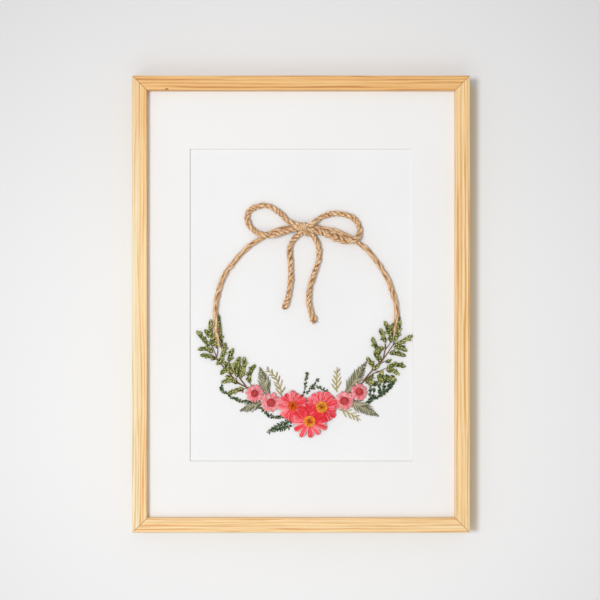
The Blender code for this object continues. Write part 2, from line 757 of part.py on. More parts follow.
RIGHT_SPRAY = {
    "right_spray_stem": (SPRAY_LOW, STEM_RADIUS, [
        [(57.6, -76.0), (66.4, -65.2), (76.5, -53.4), (84.0, -42.6)],
    ]),
    "right_spray_tip": (SPRAY_LOW, LEAFY_RADIUS, [
        [(85.6, -38.6), (92.4, -33.0), (102.6, -30.0)],
        [(87.0, -37.2), (94.2, -24.0), (94.6, -13.4)],
    ]),
    "right_spray_outer_branch": (SPRAY_LOW, LEAFY_RADIUS, [
        [(80.4, -51.8), (88.0, -47.6), (97.0, -46.6)],
        [(82.6, -50.8), (88.6, -55.8), (96.6, -58.4)],
    ]),
    "right_spray_inner_branch": (SPRAY_HIGH, LEAFY_RADIUS, [
        [(76.2, -54.4), (79.4, -42.0), (80.6, -31.0), (78.6, -18.6)],
        [(79.4, -42.2), (75.0, -34.0), (74.2, -25.6)],
        [(77.8, -48.6), (70.6, -42.0), (66.8, -33.6)],
    ]),
    "right_spray_near_branch": (SPRAY_HIGH, LEAFY_RADIUS, [
        [(66.0, -65.6), (66.6, -58.0), (64.0, -52.4)],
        [(66.3, -62.0), (72.0, -57.0), (71.0, -49.6)],
    ]),
    "right_spray_lower_branch": (SPRAY_LOW, LEAFY_RADIUS, [
        [(70.4, -64.8), (79.0, -67.0), (88.6, -70.2)],
    ]),
}
DARK_SPRIGS = {
    "dark_sprig_left_vine": [
        [(-74.8, -71.5), (-74.8, -80.0), (-67.0, -87.2), (-57.7, -91.0), (-43.0, -94.4),
         (-35.5, -101.0), (-26.3, -106.4), (-17.0, -106.6)],
    ],
    "dark_sprig_low_left": [
        [(-2.0, -110.6), (-14.5, -111.7), (-30.8, -121.2)],
        [(-13.6, -111.6), (-17.6, -116.6), (-22.7, -119.4)],
    ],
    "dark_sprig_top_left": [
        [(-0.2, -88.0), (4.6, -80.6), (5.5, -66.2)],
    ],
    "dark_sprig_top_right": [
        [(9.0, -84.6), (13.6, -76.6), (15.6, -71.5)],
        [(11.4, -80.4), (16.6, -79.8), (22.8, -81.8)],
    ],
    "dark_sprig_right_vine": [
        [(60.0, -94.4), (70.9, -89.3), (78.7, -84.6), (88.6, -72.0)],
        [(76.6, -86.2), (75.6, -78.0), (76.4, -71.4)],
        [(65.6, -92.0), (65.4, -84.6), (67.6, -79.6)],
    ],
}


def make_twig(name, route, radius, end_radius, lift, thickness):
    """A pressed twig: a tube along its route, flattened to this thickness."""
    places = smooth_through(route, 6.0)
    last = len(places) - 1
    radii = []
    for i in range(last + 1):
        share = i / last
        swell = min(1.0, 2.2 * share)
        radii.append((radius + (end_radius - radius) * swell) * MM)
    radii[-1] *= 0.55
    points = [Vector((across, up, 0)) * MM for across, up in places]
    curve = tube_curve(name, points, radii, resolution=1)
    twig = solid_from(add_object(name, curve, CUTTERS), name, CUTTERS)
    half = thickness / 2 * MM
    for vertex in twig.data.vertices:
        vertex.co.z = max(-half, min(half, vertex.co.z))
    twig.rotation_euler = (math.pi / 2, 0, 0)
    twig.location = on_card((0, 0), lift + PRESSED_THICKNESS / 2)
    return twig


def make_branching(name, twigs, radius, end_radius, lift, material):
    """One branch, its side twigs joined into it."""
    first, *others = twigs
    branch = make_twig(name, first, radius, end_radius, lift, PRESSED_THICKNESS)
    CUTTERS.objects.unlink(branch)
    PARTS.objects.link(branch)
    branch.data.materials.append(material)
    for number, route in enumerate(others, 1):
        thickness = PRESSED_THICKNESS * (1 - SIDE_TWIG_THINNING * number)
        twig = make_twig(f"{name}_twig_{number}", route, radius, end_radius, lift, thickness)
        combine(branch, twig, "UNION")


def make_sprays():
    for spray in (LEFT_SPRAY, RIGHT_SPRAY):
        for name, (lift, end_radius, twigs) in spray.items():
            make_branching(name, twigs, STEM_RADIUS, end_radius, lift, SPRAY_GREEN)
    for name, twigs in DARK_SPRIGS.items():
        make_branching(name, twigs, SPRIG_RADIUS, SPRIG_RADIUS, SPRIG_LOW, DARK_GREEN)


make_frame()
make_mat()
make_sheets()
make_hanger()
make_hoop()
make_bow()
make_daisies()
make_ferns()
make_sprays()
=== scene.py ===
"""Looks of the pressed flower frame: pine, paper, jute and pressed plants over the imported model.

Metres, +Z up, front towards -Y. The wreath is modelled in card space: (across, up, lift) in
millimetres from the middle of the card's front, and card_to_frame turns that into metres.
"""

import math
import random

import bpy
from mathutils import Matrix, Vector


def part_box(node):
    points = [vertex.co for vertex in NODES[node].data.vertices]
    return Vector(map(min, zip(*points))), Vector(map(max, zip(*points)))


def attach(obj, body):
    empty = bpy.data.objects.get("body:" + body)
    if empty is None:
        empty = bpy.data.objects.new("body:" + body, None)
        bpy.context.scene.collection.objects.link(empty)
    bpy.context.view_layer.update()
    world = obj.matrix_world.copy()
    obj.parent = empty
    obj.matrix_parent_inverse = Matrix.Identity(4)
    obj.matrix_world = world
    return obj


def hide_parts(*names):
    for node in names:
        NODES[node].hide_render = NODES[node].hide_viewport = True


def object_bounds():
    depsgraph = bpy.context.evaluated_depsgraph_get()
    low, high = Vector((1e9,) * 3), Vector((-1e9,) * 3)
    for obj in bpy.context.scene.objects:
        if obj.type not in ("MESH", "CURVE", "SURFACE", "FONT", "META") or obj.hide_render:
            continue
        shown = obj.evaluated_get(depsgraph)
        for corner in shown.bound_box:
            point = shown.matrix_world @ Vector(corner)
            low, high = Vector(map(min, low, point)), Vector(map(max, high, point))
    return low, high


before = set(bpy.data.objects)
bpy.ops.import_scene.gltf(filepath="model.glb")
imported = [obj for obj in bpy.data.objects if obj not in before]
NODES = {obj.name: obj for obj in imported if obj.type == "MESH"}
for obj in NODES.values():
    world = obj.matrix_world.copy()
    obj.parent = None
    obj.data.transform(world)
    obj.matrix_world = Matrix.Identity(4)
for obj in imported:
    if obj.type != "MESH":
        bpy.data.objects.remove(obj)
CAD_BOX = [list(corner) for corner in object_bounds()]

MM = 0.001
LOW, HIGH = (Vector(corner) for corner in CAD_BOX)
MIDDLE = (LOW + HIGH) / 2
CARD_FRONT_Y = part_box("wreath_card")[0].y
FRAME_FRONT_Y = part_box("rail_left")[0].y


# ---------------- camera, light and stage

LENS = 85
SENSOR = 36
VIEW_WIDTH = 0.5626
VIEW_SHIFT = Vector((-0.00103, 0, 0.0039))
KEY_TRAVEL = Vector((0.40, 1.0, -0.03))
KEY_DISTANCE = 3.0
KEY_SIZE = 0.7
KEY_WATTS = 43
BOUNCE_TRAVEL = Vector((0.15, 1.0, 0.62))
BOUNCE_DISTANCE = 1.5
BOUNCE_SIZE = 1.3
BOUNCE_WATTS = 2.6
FILL_STRENGTH = 0.56
FLOOR_Z = -1.2
# how far below the origin the wall's painted light is brightest
PAINTED_LIGHT_SPOT_BELOW = 0.28


def add_object(name, data):
    thing = bpy.data.objects.new(name, data)
    bpy.context.scene.collection.objects.link(thing)
    return thing


def aim(thing, target):
    thing.rotation_mode = "QUATERNION"
    thing.rotation_quaternion = (target - thing.location).to_track_quat("-Z", "Y")


def make_camera():
    data = bpy.data.cameras.new("camera")
    data.lens = LENS
    data.sensor_width = SENSOR
    camera = add_object("camera", data)
    target = Vector((MIDDLE.x, FRAME_FRONT_Y, MIDDLE.z)) + VIEW_SHIFT
    camera.location = target - Vector((0, VIEW_WIDTH * LENS / SENSOR, 0))
    aim(camera, target)
    bpy.context.scene.camera = camera


def soft_light(name, travel, distance, size, watts):
    """A round area light whose light travels this way to the middle of the frame."""
    data = bpy.data.lights.new(name, "AREA")
    data.shape = "DISK"
    data.size = size
    data.energy = watts
    light = add_object(name, data)
    light.location = MIDDLE - travel.normalized() * distance
    light.visible_camera = False
    aim(light, MIDDLE)


def make_lights():
    soft_light("key", KEY_TRAVEL, KEY_DISTANCE, KEY_SIZE, KEY_WATTS)
    soft_light("bounce", BOUNCE_TRAVEL, BOUNCE_DISTANCE, BOUNCE_SIZE, BOUNCE_WATTS)
    world = bpy.data.worlds.new("studio")
    world.use_nodes = True
    background = world.node_tree.nodes["Background"]
    background.inputs["Color"].default_value = (1.0, 1.0, 1.0, 1.0)
    background.inputs["Strength"].default_value = FILL_STRENGTH
    bpy.context.scene.world = world
    bpy.context.scene.view_settings.view_transform = "Standard"


# ---------------- materials

def rgb(red, green, blue):
    """A linear colour from an sRGB one in 0 to 255."""
    def linear(value):
        share = value / 255
        return share / 12.92 if share <= 0.04045 else ((share + 0.055) / 1.055) ** 2.4
    return (linear(red), linear(green), linear(blue), 1.0)


WHITE = (1.0, 1.0, 1.0, 1.0)
# painted bounce light: a warm tint for the wall beside the frame, standing in for light the pine throws
# into its shadow
PAINTED_PINE_BOUNCE = rgb(255, 238, 210)


class Paint:
    """A material under construction. Most methods add a node and give back its output."""

    def __init__(self, name, roughness, specular=0.5, metallic=0.0, sheen=0.0):
        self.material = bpy.data.materials.new(name)
        self.material.use_nodes = True
        self.tree = self.material.node_tree
        self.shader = self.tree.nodes["Principled BSDF"]
        self.shader.inputs["Roughness"].default_value = roughness
        self.shader.inputs["Specular IOR Level"].default_value = specular
        self.shader.inputs["Metallic"].default_value = metallic
        self.shader.inputs["Sheen Weight"].default_value = sheen

    def feed(self, socket, value):
        """Links an output to the socket, or sets the socket to a plain value."""
        if isinstance(value, bpy.types.NodeSocket):
            self.tree.links.new(value, socket)
        else:
            socket.default_value = value

    def node(self, kind, inputs=(), **settings):
        node = self.tree.nodes.new("ShaderNode" + kind)
        for name, value in settings.items():
            setattr(node, name, value)
        for key, value in dict(inputs).items():
            self.feed(node.inputs[key], value)
        return node

    def place(self, scale=(1, 1, 1)):
        """Where a point is, in millimetres, stretched by scale."""
        where = self.node("TexCoord").outputs["Object"]
        stretch = [share / MM for share in scale]
        return self.node("Mapping", {"Vector": where, "Scale": stretch}).outputs[0]

    def attribute(self, name):
        return self.node("Attribute", attribute_name=name).outputs["Vector"]

    def split(self, vector):
        return self.node("SeparateXYZ", {0: vector}).outputs

    def join(self, x, y, z):
        return self.node("CombineXYZ", {0: x, 1: y, 2: z}).outputs[0]

    def noise(self, vector, scale, detail=3.0, roughness=0.5, distortion=0.0):
        return self.node("TexNoise", {
            "Vector": vector, "Scale": scale, "Detail": detail, "Roughness": roughness,
            "Distortion": distortion,
        }).outputs["Fac"]

    def bands(self, vector, period, distortion, detail_scale):
        """Bands across X with this period."""
        return self.node("TexWave", {
            "Vector": vector, "Scale": 2 * math.pi / 20 / period, "Distortion": distortion,
            "Detail Scale": detail_scale,
        }).outputs["Fac"]

    def ramp(self, factor, *stops):
        """A colour ramp through (place, colour) stops."""
        node = self.node("ValToRGB", {"Fac": factor})
        elements = node.color_ramp.elements
        while len(elements) < len(stops):
            elements.new(0.5)
        for element, (place, colour) in zip(elements, stops):
            element.position = place
            element.color = colour
        return node.outputs["Color"]

    def ease(self, value, low, high):
        """0 at low and before it, 1 at high and past it, smooth between."""
        inputs = {"Value": value, "From Min": low, "From Max": high}
        return self.node("MapRange", inputs, interpolation_type="SMOOTHSTEP").outputs["Result"]

    def mix(self, factor, first, second, blend="MIX"):
        inputs = {0: factor, 6: first, 7: second}
        return self.node("Mix", inputs, data_type="RGBA", blend_type=blend).outputs[2]

    def maths(self, operation, *values):
        return self.node("Math", enumerate(values), operation=operation).outputs[0]

    def times(self, value, by, plus=0.0):
        return self.maths("MULTIPLY_ADD", value, by, plus)

    def veins(self, parts, stretch, scale):
        """Lines along a leaf. Its parts are (along, across, own shade), stretched by stretch."""
        along, across, own = (self.times(part, by) for part, by in zip(parts, stretch))
        return self.noise(self.join(across, along, own), scale, 3, 0.6)

    def finish(self, colour, height=None, distance=0.1, strength=1.0, roughness=None):
        """Links the colour, a height in millimetres times distance, and a roughness."""
        self.feed(self.shader.inputs["Base Color"], colour)
        if roughness is not None:
            self.feed(self.shader.inputs["Roughness"], roughness)
        if height is not None:
            inputs = {"Strength": strength, "Distance": distance * MM, "Height": height}
            self.feed(self.shader.inputs["Normal"], self.node("Bump", inputs).outputs["Normal"])
        return self.material


def plaster():
    """The stage's wall. Its back is clear, so that the object's own back can be seen. Its colour carries
    painted light: it grows darker the further a point lies from a spot below the frame's middle, and a
    painted warm bounce lies on it just right of the frame.
    """
    paint = Paint("plaster", 0.95, 0.1)
    tone = paint.noise(paint.place(), 0.006, 2)
    colour = paint.ramp(tone, (0.3, rgb(232, 232, 233)), (0.7, rgb(236, 236, 237)))
    # painted light: the wall darkens with distance from a spot below the frame's middle, standing in for
    # light that falls off towards the top and sides
    geometry = paint.node("NewGeometry")
    x, _, z = paint.split(geometry.outputs["Position"])
    upward = paint.maths("ADD", z, PAINTED_LIGHT_SPOT_BELOW)
    spread = paint.times(upward, upward, paint.times(x, x))
    shade = paint.ramp(spread, (0.04, WHITE), (0.17, rgb(240, 240, 240)), (0.3, rgb(226, 226, 226)))
    colour = paint.mix(1.0, colour, shade, "MULTIPLY")
    # painted bounce light: a warm tint on the wall just right of the frame, along its height, where its
    # shadow falls
    beside = paint.times(paint.ease(x, HIGH.x + 0.014, HIGH.x + 0.003), paint.ease(x, 0.0, 0.1))
    painted_bounce_span = paint.times(paint.ease(z, LOW.z - 0.004, LOW.z), paint.ease(z, HIGH.z, HIGH.z - 0.01))
    colour = paint.mix(paint.times(beside, painted_bounce_span), colour, PAINTED_PINE_BOUNCE, "MULTIPLY")
    paint.finish(colour, paint.noise(paint.place(), 0.08, 4), 0.25)
    front, clear = paint.shader.outputs[0], paint.node("BsdfTransparent").outputs[0]
    choose = paint.node("MixShader", {0: geometry.outputs["Backfacing"], 1: front, 2: clear})
    paint.feed(paint.tree.nodes["Material Output"].inputs["Surface"], choose.outputs[0])
    return paint.material


def floor_paint():
    paint = Paint("pale_floor", 0.7, 0.2)
    tone = paint.noise(paint.place(), 0.01)
    return paint.finish(paint.ramp(tone, (0.3, rgb(214, 212, 208)), (0.7, rgb(222, 220, 216))))


PALE_PINE = (0.0, rgb(242, 230, 196)), (0.6, rgb(240, 220, 178)), (1.0, rgb(228, 190, 136))
WARM_PINE = (0.0, rgb(246, 218, 170)), (0.5, rgb(241, 206, 152)), (1.0, rgb(220, 162, 96))
DEEP_PINE = (0.0, rgb(238, 196, 136)), (0.5, rgb(232, 180, 112)), (1.0, rgb(196, 134, 72))
FLAW = (-126.0, -4.2)


def pine(side, pale_width, warmth, warm_top, ring, seed):
    """Pine with its grain along a rail. Across is millimetres in from the rail's outer edge."""
    paint = Paint("pine_" + side, 0.5, 0.35)
    x, y, z = paint.split(paint.place())
    edges = {
        "left": (x, 1, -LOW.x), "right": (x, -1, HIGH.x),
        "top": (z, -1, HIGH.z), "bottom": (z, 1, -LOW.z),
    }
    axis, sign, shift = edges[side]
    across = paint.times(axis, sign, shift / MM)
    depth = paint.maths("ADD", y, -LOW.y / MM)
    slow = paint.times(z if side in ("left", "right") else x, 0.009, seed)
    sway = paint.noise(paint.join(seed, 0.0, slow), 0.9, 2)
    uneven = paint.noise(paint.join(paint.times(across, 0.22), seed, slow), 1.0, 1)
    swayed = paint.times(sway, 1.6, across)
    tilted = paint.times(depth, 0.45, paint.times(uneven, 4.0, swayed))
    streaks = paint.noise(paint.join(paint.times(tilted, 0.5), depth, slow), 1.3, 2)
    rings = paint.times(paint.bands(paint.join(tilted, depth, slow), ring, 1.2, 0.6), 0.5)
    rings = paint.times(paint.ease(streaks, 0.3, 0.7), 0.5, rings)
    rings = paint.times(rings, 1.25, -0.17)
    grain = paint.join(across, depth, slow)
    fibre = paint.noise(grain, 2.2, 4, 0.65)
    patch = paint.noise(grain, 0.25, 2)
    dark_line = paint.noise(grain, 5.5, 2, 0.4)

    inner = paint.ease(swayed, pale_width + 0.5, pale_width + 1.6)
    colour = paint.mix(inner, paint.ramp(rings, *PALE_PINE), paint.ramp(rings, *WARM_PINE))
    patchy = paint.times(patch, 0.5, warmth - 0.25)
    patchy = paint.times(paint.ease(z, -160.0, -10.0), warm_top, patchy)
    colour = paint.mix(paint.maths("MAXIMUM", patchy, 0.0), colour, paint.ramp(rings, *DEEP_PINE))
    fibres = paint.ramp(fibre, (0.28, rgb(214, 200, 182)), (0.56, WHITE))
    colour = paint.mix(0.55, colour, fibres, "MULTIPLY")
    if side == "top":
        offset = paint.join(
            paint.times(x, 0.45, -0.45 * FLAW[0]), paint.maths("SUBTRACT", z, FLAW[1]), 0.0,
        )
        reach = paint.node("VectorMath", {0: offset}, operation="LENGTH").outputs["Value"]
        flaw = paint.ease(paint.times(fibre, 1.2, reach), 1.7, 0.9)
        colour = paint.mix(paint.times(flaw, 0.85), colour, rgb(128, 84, 44))
    line = paint.times(paint.ease(dark_line, 0.62, 0.74), 0.5)
    colour = paint.mix(line, colour, rgb(180, 124, 70))
    return paint.finish(colour, paint.times(rings, 0.5, fibre), 0.08, 0.6, paint.times(fibre, 0.2, 0.42))


def white_paper(paint, face, tooth, low):
    """Gives a paper its colour, worn by its tooth."""
    worn = paint.ramp(tooth, (0.3, low), (0.7, WHITE))
    return paint.mix(0.15, face, worn, "MULTIPLY")


def mat_paper():
    """White facing paper over a cream core, which shows on the window's bevel."""
    paint = Paint("mat_paper", 0.92, 0.15)
    _, facing, _ = paint.split(paint.node("NewGeometry").outputs["True Normal"])
    core = paint.ease(paint.maths("ABSOLUTE", facing), 0.95, 0.8)
    tooth = paint.noise(paint.place(), 1.7, 4, 0.6)
    cloud = paint.noise(paint.place(), 0.01, 2)
    face = paint.ramp(cloud, (0.3, rgb(236, 235, 235)), (0.7, rgb(237, 237, 237)))
    face = paint.mix(core, face, rgb(242, 240, 234))
    return paint.finish(white_paper(paint, face, tooth, rgb(225, 225, 222)), tooth, 0.05, 0.5)


def card_paper():
    paint = Paint("card_paper", 0.9, 0.15)
    tooth = paint.noise(paint.place(), 1.1, 5, 0.65)
    cloud = paint.noise(paint.place(), 0.013, 2)
    face = paint.ramp(cloud, (0.3, rgb(235, 235, 236)), (0.7, rgb(237, 238, 239)))
    return paint.finish(white_paper(paint, face, tooth, rgb(226, 226, 226)), tooth, 0.06, 0.5)


def hardboard():
    paint = Paint("hardboard_brown", 0.75, 0.3)
    fibre = paint.noise(paint.place(), 0.8, 6, 0.7, 1.5)
    blotch = paint.noise(paint.place(), 0.03)
    flecks = paint.ramp(fibre, (0.2, rgb(104, 74, 48)), (0.5, rgb(140, 104, 70)), (0.85, rgb(174, 138, 98)))
    colour = paint.mix(paint.times(blotch, 0.4), flecks, rgb(120, 88, 60))
    return paint.finish(colour, fibre, 0.08, 0.6, paint.times(blotch, 0.3, 0.55))


def zinc():
    paint = Paint("zinc_steel", 0.35, metallic=1.0)
    spangle = paint.node("TexVoronoi", {"Vector": paint.place(), "Scale": 0.5}).outputs["Distance"]
    scratch = paint.noise(paint.place((1, 1, 0.08)), 3.0)
    colour = paint.ramp(spangle, (0.0, rgb(196, 196, 192)), (1.0, rgb(168, 168, 164)))
    return paint.finish(colour, scratch, 0.02, 0.4, paint.times(scratch, 0.35, 0.22))


def jute():
    """Fibres run along the ply. The tone is (-, how proud of the cord's middle, -), and the paint darkens
    low values: painted shade in the crevices between plies.
    """
    paint = Paint("jute_fibre", 0.85, 0.25, sheen=0.15)
    grain = paint.attribute("grain")
    fibre = paint.noise(grain, 3.2, 5, 0.7)
    strands = paint.noise(grain, 1.1, 3, 0.6)
    _, proud, _ = paint.split(paint.attribute("tone"))
    colour = paint.ramp(
        strands, (0.32, rgb(164, 120, 82)), (0.42, rgb(224, 182, 138)), (0.54, rgb(246, 214, 174)),
        (0.68, rgb(255, 238, 208)),
    )
    fine = paint.ramp(fibre, (0.32, rgb(146, 124, 104)), (0.48, rgb(236, 228, 220)), (0.6, WHITE))
    colour = paint.mix(0.8, colour, fine, "MULTIPLY")
    # painted shade: darker where a point lies deep between the plies
    shade = paint.ramp(proud, (0.42, rgb(104, 66, 40)), (0.78, rgb(226, 206, 184)), (0.95, WHITE))
    colour = paint.mix(0.95, colour, shade, "MULTIPLY")
    return paint.finish(colour, fibre, 0.12, 0.9)


def petal_paint(name, stretch, blotch_scale):
    """A petal's paint, then what colours it: the place along it, the place across it, its own
    shade, its cover by other petals, its veins and its blotches."""
    paint = Paint(name, 0.7, 0.25, sheen=0.1)
    parts = paint.split(paint.attribute("tone"))
    cover = paint.split(paint.attribute("grain"))[0]
    veins = paint.veins(parts, stretch, 1.0)
    return paint, *parts, cover, veins, paint.noise(paint.place(), blotch_scale)


def coral_petal():
    paint, _, across, own, cover, veins, blotch = petal_paint("coral_petals", (0.6, 4.5, 40), 0.35)
    bare = paint.maths("SUBTRACT", 1.0, cover)
    colour = paint.ramp(
        own, (0.0, rgb(230, 40, 60)), (0.45, rgb(242, 78, 92)), (0.8, rgb(248, 116, 128)),
        (1.0, rgb(252, 150, 158)),
    )
    colour = paint.mix(paint.ease(blotch, 0.46, 0.7), colour, rgb(226, 32, 54))
    colour = paint.mix(paint.times(cover, 0.8), colour, rgb(220, 18, 34))
    pale_streaks = paint.times(paint.ease(veins, 0.5, 0.68), 0.55)
    colour = paint.mix(paint.times(pale_streaks, bare), colour, rgb(253, 178, 180))
    streaks = paint.ramp(veins, (0.32, rgb(208, 120, 132)), (0.5, WHITE))
    colour = paint.mix(0.7, colour, streaks, "MULTIPLY")
    rim = paint.ease(paint.maths("ABSOLUTE", across), 0.62, 0.9)
    thin = paint.times(rim, bare)
    colour = paint.mix(paint.times(thin, 0.7), colour, rgb(254, 206, 206))
    return paint.finish(colour, veins, 0.12, 0.7)


def pink_petal():
    paint, along, across, own, cover, veins, blotch = petal_paint("pink_petals", (0.8, 3.5, 40), 0.4)
    colour = paint.ramp(
        along, (0.3, rgb(232, 104, 114)), (0.6, rgb(246, 140, 144)), (1.0, rgb(252, 166, 168)),
    )
    colour = paint.mix(paint.times(own, 0.6), colour, rgb(228, 98, 110))
    colour = paint.mix(paint.times(cover, 0.5), colour, rgb(220, 84, 104))
    colour = paint.mix(paint.ease(blotch, 0.48, 0.7), colour, rgb(246, 190, 194))
    streaks = paint.ramp(veins, (0.32, rgb(214, 140, 152)), (0.52, WHITE))
    colour = paint.mix(0.65, colour, streaks, "MULTIPLY")
    rim = paint.ease(paint.maths("ABSOLUTE", across), 0.6, 0.95)
    colour = paint.mix(paint.times(rim, 0.5), colour, rgb(255, 222, 220))
    return paint.finish(colour, veins, 0.12, 0.7)


def disc(name, centre, middle, rim, seed):
    """Florets, coloured from the middle of the disc to its rim. Tone is (radius share, -, own)."""
    paint = Paint(name, 0.8, 0.2)
    radius, _, own = paint.split(paint.attribute("tone"))
    wobble = paint.maths("SUBTRACT", paint.noise(paint.place(), 0.6, 2), 0.5)
    share = paint.times(wobble, 0.7, radius)
    colour = paint.ramp(share, (0.08, centre), (0.4, middle), (0.85, rim))
    speck = paint.maths("FRACT", paint.times(own, seed))
    dust = paint.ramp(speck, (0.0, rgb(150, 112, 90)), (0.3, rgb(226, 206, 190)), (0.6, WHITE))
    colour = paint.mix(0.85, colour, dust, "MULTIPLY")
    return paint.finish(colour, paint.noise(paint.place(), 3.0, 3, 0.6), 0.15, 0.8)


def foliage(name, dark, middle, light, tip, tip_share=0.5, painted_base_shade=0.0):
    """A dried leaf: its shade varies from leaf to leaf and over each, and towards its tip; towards its base
    it darkens, painted shade where the leaves overlap.
    """
    paint = Paint(name, 0.8, 0.06)
    along, across, own = paint.split(paint.attribute("tone"))
    blotch = paint.noise(paint.place(), 0.5, 4, 0.6)
    veins = paint.veins((along, across, own), (1.2, 3.0, 50), 1.3)
    shade = paint.times(own, 0.75, paint.times(blotch, 0.35))
    colour = paint.ramp(shade, (0.2, dark), (0.52, middle), (0.86, light))
    colour = paint.mix(paint.times(paint.ease(along, 0.4, 0.9), tip_share), colour, tip)
    # painted shade: darker towards the leaf's base, where the leaves overlap
    colour = paint.mix(paint.times(paint.ease(along, 0.4, 0.0), painted_base_shade), colour, dark)
    rib = paint.ease(paint.maths("ABSOLUTE", across), 0.3, 0.0)
    colour = paint.mix(paint.times(rib, 0.3), colour, light)
    grooves = paint.ramp(veins, (0.3, rgb(190, 190, 180)), (0.6, WHITE))
    colour = paint.mix(0.5, colour, grooves, "MULTIPLY")
    return paint.finish(colour, veins, 0.12, 0.7)


def bark():
    paint = Paint("twig_bark", 0.8, 0.2)
    grain = paint.noise(paint.attribute("grain"), 1.5, 4, 0.6)
    colour = paint.ramp(grain, (0.3, rgb(84, 60, 40)), (0.55, rgb(128, 98, 70)), (0.8, rgb(160, 130, 98)))
    return paint.finish(colour, grain, 0.1, 0.8)


# ---------------- mesh building

def card_to_frame(point):
    """Metres in the frame from (across, up, lift) in millimetres on the card."""
    across, up, lift = point
    return (MIDDLE.x + across * MM, CARD_FRONT_Y - lift * MM, MIDDLE.z + up * MM)


class Build:
    """Gathers closed shapes in card space into one piece. Each point has a tone and a grain."""

    def __init__(self):
        self.points = []
        self.faces = []
        self.tones = []
        self.grains = []
        self.materials = []
        self.material = 0

    def add(self, points, faces, tones, grains=None):
        start = len(self.points)
        self.points += [card_to_frame(point) for point in points]
        self.faces += [[start + corner for corner in face] for face in faces]
        self.materials += [self.material] * len(faces)
        self.tones += tones
        self.grains += grains or [(0.0, 0.0, 0.0)] * len(points)

    def take_fibres(self, loose):
        """Takes in the fibres of another build, with proud values of at least 0.85, which keep the jute's
        painted crevice shade light on them.
        """
        start = len(self.points)
        self.points += loose.points
        self.faces += [[start + corner for corner in face] for face in loose.faces]
        self.materials += loose.materials
        self.tones += [(own, max(proud, 0.85), across) for own, proud, across in loose.tones]
        self.grains += loose.grains

    def make(self, name, slot, paints, node):
        """The piece's object, which stands for this CAD node."""
        mesh = bpy.data.meshes.new(name)
        mesh.from_pydata(self.points, [], self.faces)
        mesh.polygons.foreach_set("material_index", self.materials)
        mesh.polygons.foreach_set("use_smooth", [True] * len(self.faces))
        for label, values in (("tone", self.tones), ("grain", self.grains)):
            layer = mesh.attributes.new(label, "FLOAT_VECTOR", "POINT")
            layer.data.foreach_set("vector", [number for value in values for number in value])
        for paint in paints:
            mesh.materials.append(paint)
        mesh.update()
        thing = add_object(name, mesh)
        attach(thing, "root")
        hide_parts(node)


def band_faces(rings, corners):
    """Faces between each ring of points and the next."""
    faces = []
    for start in range(0, (rings - 1) * corners, corners):
        for corner in range(corners):
            here, beside = start + corner, start + (corner + 1) % corners
            faces.append((here, beside, beside + corners, here + corners))
    return faces


def loop_faces(rings, corners):
    """Faces of a closed tube: rings of corners points, and a point at each end."""
    faces = band_faces(rings, corners)
    first, last = rings * corners, rings * corners + 1
    end = (rings - 1) * corners
    for corner in range(corners):
        beside = (corner + 1) % corners
        faces.append((beside, corner, first))
        faces.append((end + corner, end + beside, last))
    return faces


def smooth_path(points, spacing):
    """Points at this spacing along a smooth curve through the given ones."""
    padded = [points[0], *points, points[-1]]
    fine = []
    for i in range(1, len(padded) - 2):
        before, start, end, after = (Vector(p) for p in padded[i - 1:i + 3])
        for k in range(16):
            t = k / 16
            fine.append(
                0.5 * (2 * start + (end - before) * t
                       + (2 * before - 5 * start + 4 * end - after) * t ** 2
                       + (3 * start - before - 3 * end + after) * t ** 3)
            )
    fine.append(Vector(points[-1]))
    lengths = [0.0]
    for a, b in zip(fine, fine[1:]):
        lengths.append(lengths[-1] + (b - a).length)
    count = max(2, round(lengths[-1] / spacing))
    path, at = [], 0
    for i in range(count + 1):
        target = lengths[-1] * i / count
        while at < len(fine) - 2 and lengths[at + 1] < target:
            at += 1
        step = lengths[at + 1] - lengths[at]
        path.append(fine[at].lerp(fine[at + 1], (target - lengths[at]) / step if step else 0.0))
    return path


def card_path(route, lift, spacing):
    """A smooth path through places on the card, at this lift."""
    return smooth_path([(x, y, lift) for x, y in route], spacing)


def heading(start, end):
    """The direction on the card from start to end, in radians."""
    ahead = end - start
    return math.atan2(ahead.y, ahead.x)


def frames_along(path):
    """(point, tangent, normal, binormal, run) along a path, its normal carried without twist."""
    frames = []
    normal = Vector((0, 0, 1))
    run = 0.0
    for i, point in enumerate(path):
        ahead, behind = path[min(i + 1, len(path) - 1)], path[max(i - 1, 0)]
        tangent = (ahead - behind).normalized()
        normal = normal - tangent * normal.dot(tangent)
        if normal.length < 1e-6:
            normal = tangent.orthogonal()
        normal.normalize()
        if i:
            run += (point - path[i - 1]).length
        frames.append((point, tangent, normal.copy(), tangent.cross(normal), run))
    return frames


def tube(build, path, radii, corners=5, flat=1.0, own=0.5):
    """A closed tube with a radius at each point, flattened towards the card by flat."""
    points, tones, grains = [], [], []
    frames = frames_along(path)
    length = frames[-1][4]
    for (point, tangent, normal, binormal, run), radius in zip(frames, radii):
        for corner in range(corners):
            angle = 2 * math.pi * corner / corners
            reach_up, reach_side = math.sin(angle) * radius * flat, math.cos(angle) * radius
            points.append(point + normal * reach_up + binormal * reach_side)
            tones.append((run / length, math.cos(angle), own))
            grains.append((math.cos(angle) * 2, math.sin(angle) * 2, run * 0.25))
    for end, sign in ((0, -1), (-1, 1)):
        point, tangent, _, _, run = frames[end]
        points.append(point + tangent * sign * radii[end] * 0.5)
        tones.append((max(0, sign), 0, own))
        grains.append((0, 0, run * 0.25))
    build.add(points, loop_faces(len(frames), corners), tones, grains)


BLADE_THICKNESS = 0.16


